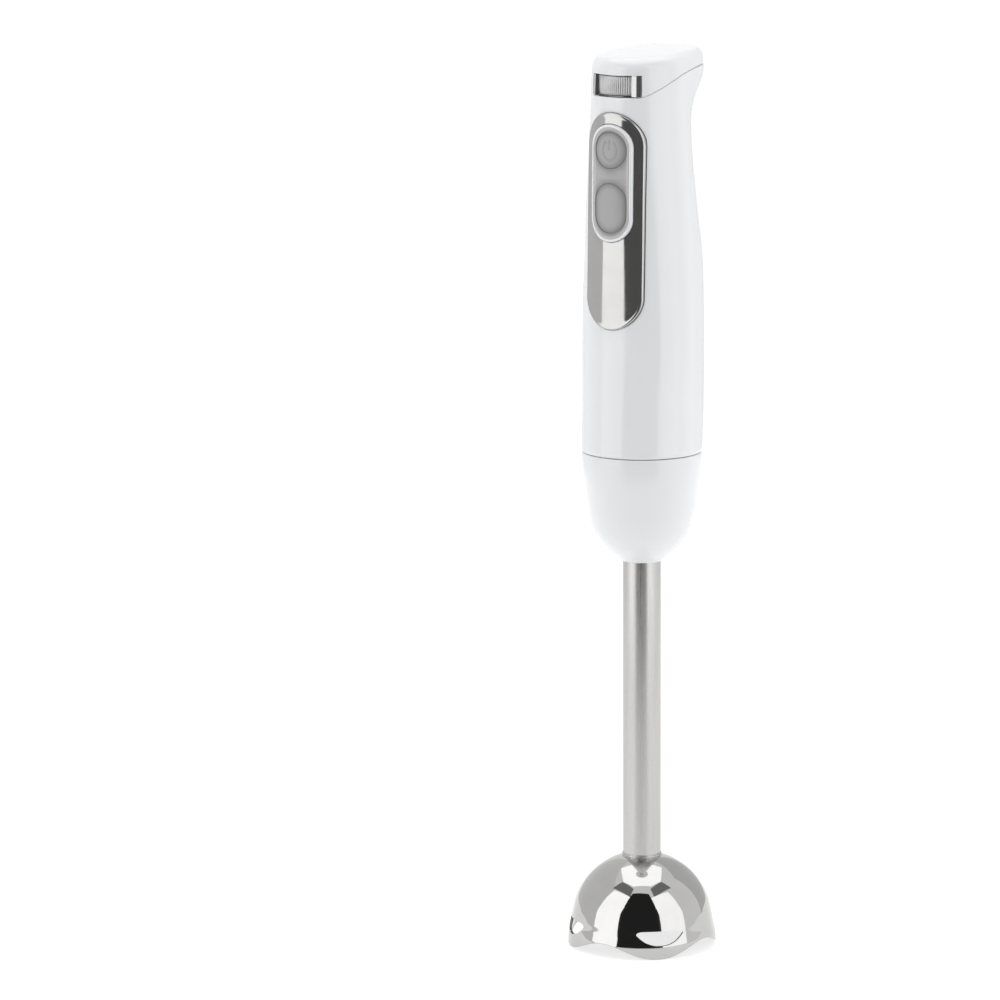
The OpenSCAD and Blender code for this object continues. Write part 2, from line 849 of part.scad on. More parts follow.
function bell_side(z, r) = z >= bell_z ? sqrt(pow(r, 2) - pow(z - bell_z, 2)) : r;
function bell_out(z, r = bell_r) = bell_side(z, r) + bell_flare * pow(max(0, flare_z - z) / flare_z, 1.6);
module bell_guard() {
  steps = 20;
  top_z = bell_z + sqrt(pow(bell_r, 2) - pow(tube_r + 0.05, 2));
  in_top = bell_z + sqrt(pow(bell_r - bell_t, 2) - pow(tube_r + 0.05, 2));
  arch_reach = 15;
  arch_r = (pow(arch_reach, 2) + pow(arch_h, 2)) / (2 * arch_h);
  slot_lo = 5.7;
  slot_hi = 11.9;
  slot_r = 12;
  slot_turn = 48;
  color(chrome)
    difference() {
      rotate_extrude()
        polygon(concat(
          [for (i = [0:steps])
            let (z = top_z * (1 - pow(1 - i / steps, 1.6))) [i == steps ? tube_r + 0.05 : bell_out(z), z]],
          [for (i = [steps:-1:0])
            let (z = in_top * (1 - pow(1 - i / steps, 1.6)))
            [i == steps ? tube_r + 0.05
              : bell_out(z, bell_r - bell_t), z]]
        ));
      for (a = [0, 90])
        rotate([0, 0, a])
          translate([0, 40, arch_h - arch_r]) rotate([90, 0, 0]) cylinder(r = arch_r, h = 80);
      for (i = [0:3])
        rotate([0, 0, slot_turn + 90 * i])
          rotate([90, 0, 0])
            translate([0, 0, 22])
              linear_extrude(height = 14)
                intersection() {
                  translate([0, slot_lo + slot_r]) circle(r = slot_r);
                  translate([-15, 0]) square([30, slot_hi]);
                }
    }
}

module neck_ring() {
  color(steel)
    rotate_extrude()
      polygon([[tube_r + 0.1, 38.25], [8.9, 38], [8.95, 38.6], [8.6, 38.9], [8.85, 39.3],
        [8.6, 39.9], [tube_r + 0.1, 39.9]]);
}

module bearing_carrier() {
  pocket = 5.05;
  color(steel)
    difference() {
      union() {
        disc(21, 33.4, 9.6);
        disc(33, 52, tube_r - tube_t - 0.05);
      }
      disc(30, 53, pocket);
      disc(20, 29.2, 6.55);
      disc(20, 40, 3);
    }
}

module upper_bush() {
  color(brass) ring(184, 194, 2.55, 5.05);
}

module lower_bush() {
  color(brass) ring(30.2, 51, 2.55, 5);
}

module shaft_seal() {
  color(dark) ring(22.5, 29, 2.6, 6.5);
}

// ---- blade shaft ----
module drive_rod() {
  color(steel)
    union() {
      disc(13.4, 203, shaft_r);
      disc(7.4, 14, 1.9);
    }
}

module coupling_socket() {
  wall_in = 6;
  color(dark)
    difference() {
      union() {
        ring(196, 220, shaft_r + 0.02, 8.2);
      }
      disc(206, 221, wall_in);
      disc(195, 206.5, shaft_r + 0.02);
    }
  color(dark)
    for (s = [90, 270]) arc_block(206, 217, 4.4, wall_in + 0.3, s - 12, s + 12);
}

module blade() {
  root_r = 5.2;
  root_x = 3.9;
  tip_w = 7;
  lift = 12;
  color(steel)
    difference() {
      union() {
        disc(10.2, 10.2 + blade_t + 0.6, root_r);
        for (s = [0, 180])
          rotate([0, 0, s])
            translate([0, 0, 10.4])
              rotate([s == 0 ? lift : -lift, 0, 0])
                linear_extrude(height = blade_t)
                  polygon([[root_x, -3.6], [8, -3.8], [blade_r - 1, -tip_w / 2], [blade_r, 0],
                    [blade_r - 4, tip_w / 2], [8, 3.4], [root_x, 3.6]]);
      }
      disc(5, 16, 1.95);
    }
}

module blade_nut() {
  color(steel)
    difference() {
      translate([0, 0, 7]) cylinder(r = 4, h = 3.1, $fn = 6);
      disc(6, 11, 1.93);
    }
}

module retaining_clip() {
  color(steel) ring(194.3, 195.4, shaft_r + 0.02, 4.6);
}

housing();
top_cap();
dial_frame();
trim_plate();
button_bezel();
cord_gland();
power_button();
turbo_button();
power_spring();
turbo_spring();
speed_dial();
dial_shaft();
speed_potentiometer();
dial_carrier();
switch_board();
power_switch();
turbo_switch();
suppressor_capacitor();
board_screws();
motor_chassis();
damper_rings();
stator_core();
field_coils();
upper_bracket();
lower_bracket();
upper_bearing();
lower_bearing();
through_bolts();
brush_holders();
carbon_brushes();
brush_springs();
motor_base();
base_screws();
armature_shaft();
armature_core();
armature_winding();
commutator();
cooling_fan();
drive_dog();
lock_ring();
foot_collar();
bayonet_hub();
shaft_tube();
bell_guard();
neck_ring();
bearing_carrier();
upper_bush();
lower_bush();
shaft_seal();
drive_rod();
coupling_socket();
blade();
blade_nut();
retaining_clip();
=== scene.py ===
import json
import math

import bmesh
import bpy
from mathutils import Matrix, Vector


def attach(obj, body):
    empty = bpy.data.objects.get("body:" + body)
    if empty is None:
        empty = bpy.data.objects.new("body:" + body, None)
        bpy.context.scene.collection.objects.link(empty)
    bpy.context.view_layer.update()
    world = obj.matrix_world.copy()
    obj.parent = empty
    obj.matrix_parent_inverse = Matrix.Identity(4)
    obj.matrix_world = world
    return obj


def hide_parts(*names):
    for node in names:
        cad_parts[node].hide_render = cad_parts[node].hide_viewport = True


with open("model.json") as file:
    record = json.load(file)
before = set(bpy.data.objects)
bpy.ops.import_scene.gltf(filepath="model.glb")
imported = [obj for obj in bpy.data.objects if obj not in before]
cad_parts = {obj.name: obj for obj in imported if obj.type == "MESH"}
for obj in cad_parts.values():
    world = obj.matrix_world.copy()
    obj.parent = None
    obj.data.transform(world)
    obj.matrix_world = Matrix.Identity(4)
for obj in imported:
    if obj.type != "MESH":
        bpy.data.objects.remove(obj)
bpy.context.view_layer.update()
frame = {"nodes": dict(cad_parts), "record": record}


MM = 0.001
sin, cos, pi = math.sin, math.cos, math.pi


def put_in_scene(name, data):
    """An object for a mesh or camera, linked to the scene."""
    obj = bpy.data.objects.new(name, data)
    bpy.context.scene.collection.objects.link(obj)
    return obj


# ---------------------------------------------------------------- camera
AZIMUTH = 34.3          # towards the tool's right-hand side
ELEVATION = 10.3
DISTANCE = 2303.0
AIM_HEIGHT = 190.9      # height of the axis in the middle of the view
AXIS_OFF = 59.4         # the axis stands this far right of the view's middle
ROLL = -0.28
LENS, SENSOR_W = 198, 36


def place_camera():
    """Camera that looks past the tool, so that it stands right of the middle."""
    a, e = math.radians(AZIMUTH), math.radians(ELEVATION)
    back = Vector((sin(a) * cos(e), -cos(a) * cos(e), sin(e)))
    right = Vector((cos(a), sin(a), 0))
    up = back.cross(right)
    aim = Vector((0, 0, AIM_HEIGHT)) - right * AXIS_OFF
    data = bpy.data.cameras.new("camera")
    data.sensor_width = SENSOR_W
    data.lens = LENS
    data.clip_end = 20
    cam = put_in_scene("camera", data)
    turn = Matrix((right, up, back)).transposed().to_4x4()
    cam.matrix_world = (Matrix.Translation((aim + back * DISTANCE) * MM) @ turn
                        @ Matrix.Rotation(math.radians(ROLL), 4, "Z"))
    bpy.context.scene.camera = cam


place_camera()


# ---------------------------------------------------------------- materials
def new_material(name, base, rough, metal=0.0):
    """A material, its node tree and its shader."""
    mat = bpy.data.materials.new(name)
    mat.use_nodes = True
    shader = mat.node_tree.nodes["Principled BSDF"]
    shader.inputs["Base Color"].default_value = (*base, 1)
    shader.inputs["Roughness"].default_value = rough
    shader.inputs["Metallic"].default_value = metal
    return mat, mat.node_tree, shader


def add(tree, kind, **values):
    """A node with its named inputs or settings filled in."""
    node = tree.nodes.new(kind)
    for key, value in values.items():
        if key in node.inputs:
            node.inputs[key].default_value = value
        else:
            setattr(node, key, value)
    return node


def place(tree, stretch=(1, 1, 1)):
    """Object coordinates, stretched along each axis."""
    coords = tree.nodes.new("ShaderNodeTexCoord")
    mapping = tree.nodes.new("ShaderNodeMapping")
    mapping.inputs["Scale"].default_value = stretch
    tree.links.new(coords.outputs["Object"], mapping.inputs["Vector"])
    return mapping.outputs["Vector"]


def noise(tree, vector, scale, detail=3.0, rough=0.5):
    """Noise over a vector, from 0 to 1."""
    node = add(tree, "ShaderNodeTexNoise", Scale=scale, Detail=detail, Roughness=rough)
    tree.links.new(vector, node.inputs["Vector"])
    return node.outputs["Fac"]


def spread(tree, value, low, high, lo_out, hi_out):
    """A value moved from one range to another."""
    node = tree.nodes.new("ShaderNodeMapRange")
    node.inputs["From Min"].default_value = low
    node.inputs["From Max"].default_value = high
    node.inputs["To Min"].default_value = lo_out
    node.inputs["To Max"].default_value = hi_out
    tree.links.new(value, node.inputs["Value"])
    return node.outputs["Result"]


def blend_colours(tree, factor, one, two):
    """The first colour where the factor is 0 and the second where it is 1."""
    node = tree.nodes.new("ShaderNodeMix")
    node.data_type = "RGBA"
    node.inputs["A"].default_value = (*one, 1)
    node.inputs["B"].default_value = (*two, 1)
    tree.links.new(factor, node.inputs["Factor"])
    return node.outputs["Result"]


def bump(tree, shader, height, strength, depth):
    """Fine relief on the shader from a height."""
    node = add(tree, "ShaderNodeBump", Strength=strength, Distance=depth)
    tree.links.new(height, node.inputs["Height"])
    tree.links.new(node.outputs["Normal"], shader.inputs["Normal"])


def tint_where(tree, attribute, most, under, colour):
    """A colour laid over another as far as a mesh attribute says, most at the full value."""
    where = tree.nodes.new("ShaderNodeAttribute")
    where.attribute_name = attribute
    node = tree.nodes.new("ShaderNodeMix")
    node.data_type = "RGBA"
    node.inputs["B"].default_value = (*colour, 1)
    tree.links.new(spread(tree, where.outputs["Fac"], 0, 1, 0, most), node.inputs["Factor"])
    tree.links.new(under, node.inputs["A"])
    return node.outputs["Result"]


def glossy_plastic(name, base, worn, rough=0.16, grain=0.012):
    """Moulded plastic: faint tone drift, a smooth coat, fine ripple and handling marks."""
    mat, tree, shader = new_material(name, base, rough)
    where = place(tree)
    tone = spread(tree, noise(tree, where, 22, 2), 0.35, 0.65, 0, 1)
    tree.links.new(blend_colours(tree, tone, base, worn), shader.inputs["Base Color"])
    smear = spread(tree, noise(tree, where, 95, 5, 0.62), 0.3, 0.75, rough * 0.75, rough * 1.5)
    tree.links.new(smear, shader.inputs["Roughness"])
    bump(tree, shader, noise(tree, where, 1400, 2), 0.05, grain * MM)
    shader.inputs["IOR"].default_value = 1.49
    shader.inputs["Coat Weight"].default_value = 0.2
    shader.inputs["Coat Roughness"].default_value = 0.06
    shader.inputs["Subsurface Weight"].default_value = 0.04
    shader.inputs["Subsurface Radius"].default_value = (0.002, 0.002, 0.002)
    return mat


def soft_touch(name, base, worn, rough=0.52):
    """Soft-touch rubber with a fine leathery grain, painted shade in the dip round a key and paler at a
    border.
    """
    mat, tree, shader = new_material(name, base, rough)
    where = place(tree)
    tone = spread(tree, noise(tree, where, 60, 4), 0.3, 0.7, 0, 1)
    colour = blend_colours(tree, tone, base, worn)
    # painted shade: the colour halved in the dip round each key, as far as the mesh attribute says; the power
    # mark uses the same attribute to come out darker
    colour = tint_where(tree, "painted_shade_and_mark_darkening", 0.85, colour, [v * 0.5 for v in base])
    colour = tint_where(tree, "border", 0.9, colour, [min(v * 1.5, 0.8) for v in base])
    tree.links.new(colour, shader.inputs["Base Color"])
    tree.links.new(spread(tree, noise(tree, where, 180, 4), 0.3, 0.7, rough - 0.07, rough + 0.08),
                   shader.inputs["Roughness"])
    bump(tree, shader, noise(tree, where, 3200, 3), 0.22, 0.02 * MM)
    shader.inputs["Sheen Weight"].default_value = 0.12
    shader.inputs["Sheen Roughness"].default_value = 0.4
    return mat


def mirror_metal(name, base, rough=0.05, scratch=0.02, metal=1.0):
    """Plated or polished metal: hairlines and wiping marks in the polish."""
    mat, tree, shader = new_material(name, base, rough, metal)
    where = place(tree)
    hair = noise(tree, place(tree, (1, 1, 0.06)), 2600, 2)
    wipe = noise(tree, where, 70, 5, 0.65)
    tree.links.new(spread(tree, wipe, 0.3, 0.75, rough * 0.6, rough * 1.9), shader.inputs["Roughness"])
    tone = spread(tree, wipe, 0.3, 0.7, 0, 1)
    worn = tuple(v * 0.93 for v in base)
    tree.links.new(blend_colours(tree, tone, base, worn), shader.inputs["Base Color"])
    bump(tree, shader, hair, scratch, 0.01 * MM)
    return mat


def brushed_metal(name, base, rough=0.3, stretch=(1, 1, 0.02), lines=1800, depth=0.25):
    """Brushed metal: long fine lines along one axis, drifting tone and a few deeper strokes."""
    mat, tree, shader = new_material(name, base, rough, 1)
    fine = noise(tree, place(tree, stretch), lines, 3, 0.7)
    broad = noise(tree, place(tree, tuple(1 if v == 1 else v * 3 for v in stretch)), lines * 0.14, 3)
    tree.links.new(spread(tree, fine, 0.3, 0.7, rough * 0.82, rough * 1.2), shader.inputs["Roughness"])
    tone = spread(tree, broad, 0.3, 0.7, 0, 1)
    worn = tuple(v * 0.88 for v in base)
    tree.links.new(blend_colours(tree, tone, base, worn), shader.inputs["Base Color"])
    bump(tree, shader, fine, depth, 0.012 * MM)
    return mat


def matte_plastic(name, base, worn, rough=0.5):
    """Moulded matte plastic with spark-eroded grain."""
    mat, tree, shader = new_material(name, base, rough)
    where = place(tree)
    wear = spread(tree, noise(tree, where, 45, 4), 0.35, 0.7, 0, 1)
    tree.links.new(blend_colours(tree, wear, base, worn), shader.inputs["Base Color"])
    tree.links.new(spread(tree, noise(tree, where, 260, 3), 0.3, 0.7, rough * 0.85, rough * 1.15),
                   shader.inputs["Roughness"])
    bump(tree, shader, noise(tree, where, 2600, 3), 0.3, 0.03 * MM)
    return mat


def wound_copper(name, base):
    """Varnished copper wire: close turns as ridges, darker between them."""
    mat, tree, shader = new_material(name, base, 0.32, 1)
    wave = add(tree, "ShaderNodeTexWave", Scale=520.0, Distortion=1.6, Detail=2.0)
    wave.wave_type = "RINGS"
    wave.rings_direction = "Z"
    tree.links.new(place(tree), wave.inputs["Vector"])
    tree.links.new(blend_colours(tree, wave.outputs["Fac"], tuple(v * 0.35 for v in base), base),
                   shader.inputs["Base Color"])
    tree.links.new(spread(tree, wave.outputs["Fac"], 0, 1, 0.5, 0.25), shader.inputs["Roughness"])
    bump(tree, shader, wave.outputs["Fac"], 0.6, 0.12 * MM)
    return mat


def laminated_steel(name, base):
    """Stack of thin sheets seen from the side: fine lines across Z, a little rust in patches."""
    mat, tree, shader = new_material(name, base, 0.42, 1)
    wave = add(tree, "ShaderNodeTexWave", Scale=320.0, Distortion=0.3)
    wave.bands_direction = "Z"
    tree.links.new(place(tree), wave.inputs["Vector"])
    rust = spread(tree, noise(tree, place(tree), 140, 5), 0.55, 0.75, 0, 1)
    tree.links.new(blend_colours(tree, rust, base, (0.28, 0.2, 0.15)), shader.inputs["Base Color"])
    tree.links.new(spread(tree, wave.outputs["Fac"], 0, 1, 0.5, 0.34), shader.inputs["Roughness"])
    bump(tree, shader, wave.outputs["Fac"], 0.5, 0.06 * MM)
    return mat


def circuit_board(name):
    """Green board: lacquer over copper tracks."""
    mat, tree, shader = new_material(name, (0.03, 0.16, 0.08), 0.35)
    brick = add(tree, "ShaderNodeTexBrick", Scale=420.0)
    brick.inputs["Mortar Size"].default_value = 0.012
    tree.links.new(place(tree, (1, 0, 1)), brick.inputs["Vector"])
    tree.links.new(blend_colours(tree, brick.outputs["Fac"], (0.02, 0.15, 0.07), (0.06, 0.28, 0.12)),
                   shader.inputs["Base Color"])
    tree.links.new(spread(tree, noise(tree, place(tree), 300, 3), 0.3, 0.7, 0.25, 0.45),
                   shader.inputs["Roughness"])
    bump(tree, shader, brick.outputs["Fac"], 0.4, 0.05 * MM)
    return mat


WHITE = (0.80, 0.812, 0.822)
WHITE_DRIFT = (0.78, 0.795, 0.808)
MATS = {
    "white_shell": glossy_plastic("white shell", WHITE, WHITE_DRIFT),
    "white_cap": glossy_plastic("white cap", WHITE, WHITE_DRIFT),
    "white_collar": glossy_plastic("white collar", (0.79, 0.802, 0.812), (0.77, 0.785, 0.797)),
    "dial_chrome": mirror_metal("dial chrome", (0.48, 0.48, 0.475), 0.1, 0.02, 0.86),
    "trim_chrome": mirror_metal("trim chrome", (0.46, 0.457, 0.45), 0.08, 0.02, 0.86),
    "soft_pad": soft_touch("soft pad", (0.44, 0.43, 0.43), (0.41, 0.405, 0.41), 0.42),
    "button_grey": soft_touch("button grey", (0.40, 0.395, 0.395), (0.375, 0.37, 0.372), 0.42),
    "black_rubber": soft_touch("black rubber", (0.035, 0.035, 0.037), (0.06, 0.06, 0.06), 0.6),
    "spring_steel": brushed_metal("spring steel", (0.52, 0.53, 0.55), 0.28, (1, 1, 1), 900),
    "dial_silver": mirror_metal("dial silver", (0.50, 0.50, 0.502), 0.36, 0.05),
    "machined_steel": brushed_metal("machined steel", (0.56, 0.57, 0.59), 0.27, (0.04, 0.04, 1), 1500),
    "dark_plastic": matte_plastic("dark plastic", (0.035, 0.036, 0.04), (0.07, 0.07, 0.075)),
    "board_green": circuit_board("board green"),
    "capacitor_yellow": glossy_plastic("capacitor yellow", (0.55, 0.38, 0.06), (0.5, 0.33, 0.05), 0.3),
    "lamination_steel": laminated_steel("lamination steel", (0.36, 0.37, 0.39)),
    "copper_wire": wound_copper("copper wire", (0.62, 0.27, 0.12)),
    "cast_alloy": matte_plastic("cast alloy", (0.55, 0.56, 0.57), (0.45, 0.46, 0.47), 0.42),
    "bronze": brushed_metal("bronze", (0.52, 0.36, 0.18), 0.36, (0.05, 0.05, 1), 1400),
    "brass_sheet": brushed_metal("brass sheet", (0.70, 0.54, 0.24), 0.25, (1, 0.05, 1), 1400),
    "carbon": matte_plastic("carbon", (0.02, 0.02, 0.02), (0.04, 0.04, 0.04), 0.62),
    "commutator_copper": brushed_metal("commutator copper", (0.68, 0.33, 0.17), 0.22, (0.05, 0.05, 1), 1600),
    "fan_nylon": matte_plastic("fan nylon", (0.62, 0.62, 0.58), (0.55, 0.55, 0.5), 0.45),
    "tube_steel": brushed_metal("tube steel", (0.545, 0.54, 0.53), 0.30),
    "bell_steel": mirror_metal("bell steel", (0.51, 0.507, 0.50), 0.04, 0.015),
    "blade_steel": brushed_metal("blade steel", (0.62, 0.63, 0.64), 0.2, (0.05, 1, 1), 1500),
}
MATS["cast_alloy"].node_tree.nodes["Principled BSDF"].inputs["Metallic"].default_value = 1
SLOT_OF = {s["node"]: s["material_slot"] for s in frame["record"]["subparts"]}
BODY_OF = {n: b for b, nodes in frame["record"]["behaviour"]["bodies"].items() for n in nodes}


def finish_cad_nodes():
    """Every CAD node that stays in view gets its slot's material."""
    for node, obj in frame["nodes"].items():
        mat = MATS[SLOT_OF[node]]
        if not obj.material_slots:
            obj.data.materials.append(mat)
        for slot in obj.material_slots:
            slot.material = mat


finish_cad_nodes()


# ---------------------------------------------------------------- mesh making
def solid_mesh(name, points, faces):
    """An object from points in millimetres, with its faces turned outwards."""
    mesh = bpy.data.meshes.new(name)
    mesh.from_pydata([tuple(v * MM for v in p) for p in points], [], faces)
    mesh.validate()
    bm = bmesh.new()
    bm.from_mesh(mesh)
    bmesh.ops.recalc_face_normals(bm, faces=bm.faces)
    bm.to_mesh(mesh)
    bm.free()
    return put_in_scene(name, mesh)


def make_piece(name, points, faces, node, smooth=30.0):
    """A mesh piece with the material of a CAD node."""
    obj = solid_mesh(name, points, faces)
    obj.data.materials.append(MATS[SLOT_OF[node]])
    set_smooth(obj, smooth)
    return obj


def slab(near, far):
    """Cutter between two outlines with the same number of points."""
    n = len(near)
    faces = [(j, (j + 1) % n, n + (j + 1) % n, n + j) for j in range(n)]
    faces += [tuple(range(n - 1, -1, -1)), tuple(range(n, 2 * n))]
    return solid_mesh("cutter", near + far, faces)


def set_smooth(obj, angle):
    """Shades a piece smooth, but for edges that are sharper than the angle."""
    mesh = obj.data
    for poly in mesh.polygons:
        poly.use_smooth = True
    bm = bmesh.new()
    bm.from_mesh(mesh)
    limit = math.radians(angle)
    for edge in bm.edges:
        edge.smooth = not (len(edge.link_faces) == 2 and edge.calc_face_angle(0) > limit)
    bm.to_mesh(mesh)
    bm.free()


def stand_for(obj, node):
    """Puts a piece in the place of a CAD node and on its body."""
    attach(obj, BODY_OF[node])
    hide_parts(node)


def bake(obj):
    """Applies all the modifiers of a piece to its mesh."""
    graph = bpy.context.evaluated_depsgraph_get()
    mesh = bpy.data.meshes.new_from_object(obj.evaluated_get(graph))
    obj.modifiers.clear()
    obj.data = mesh


def cut(obj, cutters, smooth=30.0):
    """Takes the cutters out of a piece and removes them."""
    for cutter in cutters:
        mod = obj.modifiers.new("cut", "BOOLEAN")
        mod.operation = "DIFFERENCE"
        mod.solver = "MANIFOLD"
        mod.object = cutter
    bpy.context.view_layer.update()
    bake(obj)
    for cutter in cutters:
        bpy.data.objects.remove(cutter)
    set_smooth(obj, smooth)


def soften(obj, width, segments=2, angle=35.0, smooth=60.0):
    """Rounds the edges that are sharper than the angle."""
    mod = obj.modifiers.new("bevel", "BEVEL")
    mod.width = width * MM
    mod.segments = segments
    mod.limit_method = "ANGLE"
    mod.angle_limit = math.radians(angle)
    mod.use_clamp_overlap = True
    bpy.context.view_layer.update()
    bake(obj)
    set_smooth(obj, smooth)


def join(objs):
    """Joins pieces into the first one."""
    with bpy.context.temp_override(active_object=objs[0], selected_editable_objects=objs,
                                   selected_objects=objs):
        bpy.ops.object.join()
    return objs[0]


def loops_to_faces(count, n, closed_rings, closed_loop=True):
    """Quads between rings of n points; closed_rings joins the last ring to the first."""
    faces = []
    for i in range(count if closed_rings else count - 1):
        k = (i + 1) % count
        for j in range(n if closed_loop else n - 1):
            m = (j + 1) % n
            faces.append((i * n + j, k * n + j, k * n + m, i * n + m))
    return faces


def close_ring(points, faces, ring, first):
    """Closes the ring that starts at point number first to its middle."""
    n = len(ring)
    points.append(tuple(sum(p[c] for p in ring) / n for c in range(3)))
    faces.extend((first + j, first + (j + 1) % n, len(points) - 1) for j in range(n))


def ring_body(name, rings, node, closed=True, caps=(False, False), smooth=30.0):
    """A body from rings of points; caps close the first and last ring to a middle point."""
    n = len(rings[0])
    points = [p for ring in rings for p in ring]
    faces = loops_to_faces(len(rings), n, closed)
    for at_end, wanted in ((0, caps[0]), (len(rings) - 1, caps[1])):
        if wanted:
            close_ring(points, faces, rings[at_end], at_end * n)
    return make_piece(name, points, faces, node, smooth)


def turned(name, profile, node, segments=160, smooth=30.0):
    """A closed outline of (radius, height) turned round the axis."""
    rings = [[(r * sin(2 * pi * j / segments), -r * cos(2 * pi * j / segments), z)
              for j in range(segments)] for r, z in profile]
    return ring_body(name, rings, node, smooth=smooth)


def rounded(profile, radius, steps=4):
    """Rounds the corners of a closed outline by up to radius."""
    out = []
    n = len(profile)
    for i in range(n):
        a, b, c = (Vector(profile[k % n]) for k in (i - 1, i, i + 1))
        u, v = (a - b), (c - b)
        turn = u.angle(v) if u.length > 1e-6 and v.length > 1e-6 else pi
        if turn > math.radians(158):
            out.append(tuple(b))
            continue
        cutback = min(radius, u.length * 0.45, v.length * 0.45)
        p, q = b + u.normalized() * cutback, b + v.normalized() * cutback
        for k in range(steps + 1):
            t = k / steps
            out.append(tuple(p * (1 - t) ** 2 + b * 2 * t * (1 - t) + q * t * t))
    return out


def curve_through(rows, per_span):
    """Smooth line through rows of (height, radius)."""
    out = []
    for i in range(len(rows) - 1):
        p0, p1, p2, p3 = (Vector(rows[max(0, min(len(rows) - 1, i + k))]) for k in (-1, 0, 1, 2))
        for s in range(per_span):
            t = s / per_span
            out.append(tuple(0.5 * ((2 * p1) + (p2 - p0) * t + (2 * p0 - 5 * p1 + 4 * p2 - p3) * t * t
                                    + (3 * p1 - p0 - 3 * p2 + p3) * t ** 3)))
    return out + [tuple(rows[-1])]


# ---------------------------------------------------------------- the handle's skin
SEAM_Z = 212.0
# Height, depth in front of the axis, depth behind it, half width
SKIN = [
    (212, 25.3, 25.3, 25.3), (232, 24.8, 26.8, 25.1), (258, 23.9, 26.8, 25.4), (280, 23.6, 26.9, 24.9),
    (296, 23.4, 26.3, 24.1), (309, 23.3, 24, 23.6), (321, 23.3, 21.8, 22.9), (331, 23.25, 20, 22.2),
    (340, 23.2, 19.2, 21.6), (350, 23.1, 19.8, 21), (357, 22.9, 22, 20.6), (363, 22.6, 25.6, 20.5),
    (367, 22.5, 28.9, 20.5), (371, 22.2, 30.2, 20.2), (375, 21.6, 30, 19.6), (382, 20.8, 29, 18.8),
]
SHELL_T, CAP_T, SEAM_GAP = 2.2, 2.0, 0.3        # walls, and the gap at the cap's seam
WHEEL_R, WHEEL_ROOM, WHEEL_Y = 18.6, 19.0, -2.3 # radius, radius kept free for it, place of its axis
WINDOW = (362.4, 370.7, 35.0)   # lowest and highest edge, and half its width in degrees
WHEEL_BAY = 7.0                 # how far the wheel's room reaches below the window
SLEEVE_H = 155.0                # about the sleeve's height, which finds the seam over a point
# The cap's seam: height at the front, how far it climbs, where it starts to and over what length
SEAM_FRONT, SEAM_RISE, SEAM_START, SEAM_RUN, SEAM_EASE = 362.0, 11.5, -18.5, 14.5, 1.25


def along(rows, z, c):
    """Column c of rows sorted by height, smoothly between them."""
    last = len(rows) - 1
    i = next((k for k in range(last) if z < rows[k + 1][0]), last - 1)

    def slope(k):
        lo, hi = max(0, k - 1), min(last, k + 1)
        return (rows[hi][c] - rows[lo][c]) / (rows[hi][0] - rows[lo][0])

    h = rows[i + 1][0] - rows[i][0]
    t = (z - rows[i][0]) / h
    return ((2 * t ** 3 - 3 * t ** 2 + 1) * rows[i][c] + (t ** 3 - 2 * t ** 2 + t) * h * slope(i)
            + (3 * t ** 2 - 2 * t ** 3) * rows[i + 1][c] + (t ** 3 - t ** 2) * h * slope(i + 1))


def skin_at(z, c):
    """Column c of the handle's skin at a height."""
    return along(SKIN, z, c)


def skin_pt(z, a, off=0.0):
    """Point of the handle's skin at a height and an angle (radians) from the front."""
    w = skin_at(z, 3) + off
    rear = cos(a) < 0
    d = skin_at(z, 2 if rear else 1) + off
    n = 2 + 1.4 * max(0, d / w - 1) if rear else 2
    x = w * math.copysign(abs(sin(a)) ** (2 / n), sin(a))
    return x, -d * math.copysign(abs(cos(a)) ** (2 / n), cos(a)), z


def seam_at(y):
    """Height of the seam between the sleeve and the cap, which climbs to the rear."""
    return SEAM_FRONT + SEAM_RISE * (1 - math.exp(-(max(0, y - SEAM_START) / SEAM_RUN) ** SEAM_EASE))


def sleeve_pt(u, a, off, lift=0.0):
    """Point of the sleeve: u runs from its foot to the cap's seam."""
    guess = skin_pt(SEAM_Z + u * SLEEVE_H, a, off)
    z = SEAM_Z + u * (seam_at(guess[1]) - SEAM_GAP - SEAM_Z) + lift
    return skin_pt(z, a, off)


def clear_of_wheel(p):
    """Moves a point of an inner wall out of the speed wheel's room."""
    x, y, z = p
    far = math.hypot(x, y - WHEEL_Y)
    if z > WINDOW[0] - WHEEL_BAY and far < WHEEL_ROOM:
        x, y = x * WHEEL_ROOM / far, WHEEL_Y + (y - WHEEL_Y) * WHEEL_ROOM / far
    return x, y, z


def angles(n):
    """Even angles all round, with the front and rear between two of them."""
    return [2 * pi * (j + 0.5) / n for j in range(n)]


def prism(outline, depth_from, depth_to, z):
    """Cutter that runs out of the front of the handle: outline is (x, height) about z."""
    near, far = ([(x, -d, z + h) for x, h in outline] for d in (depth_from, depth_to))
    return slab(near, far)


def stadium(w, h, n=64, inset=0.0):
    """Outline of an upright stadium, counted round from the top."""
    r, reach = w / 2 - inset, (h - w) / 2
    out = []
    for j in range(n):
        a = 2 * pi * j / n
        out.append((r * sin(a), math.copysign(reach, cos(a) + 1e-9) + r * cos(a)))
    dense = []
    for j in range(n):
        (x0, y0), (x1, y1) = out[j], out[(j + 1) % n]
        gap = math.hypot(x1 - x0, y1 - y0)
        parts = max(1, round(gap / 2.5)) if gap > 3 else 1
        dense += [(x0 + (x1 - x0) * k / parts, y0 + (y1 - y0) * k / parts) for k in range(parts)]
    return dense


# Middle heights of the two keys, the pad and the strip
POWER_Z, TURBO_Z, BEZEL_Z, TRIM_Z = 340.1, 316.2, 326.5, 310.6
BUTTON_R, TURBO_L, GAP = 7.6, 5.4, 0.3      # keys, the oval one's straight, their gap to the sleeve
TRIM_W, TRIM_H, TRIM_GAP = 27.5, 90, 0.32   # strip, and its gap to its pocket
BEZEL_W, BEZEL_H = 19.6, 48.6               # pad with its bead
ROUND_H = 2 * BUTTON_R + 0.001  # the round key is a stadium with next to no straight
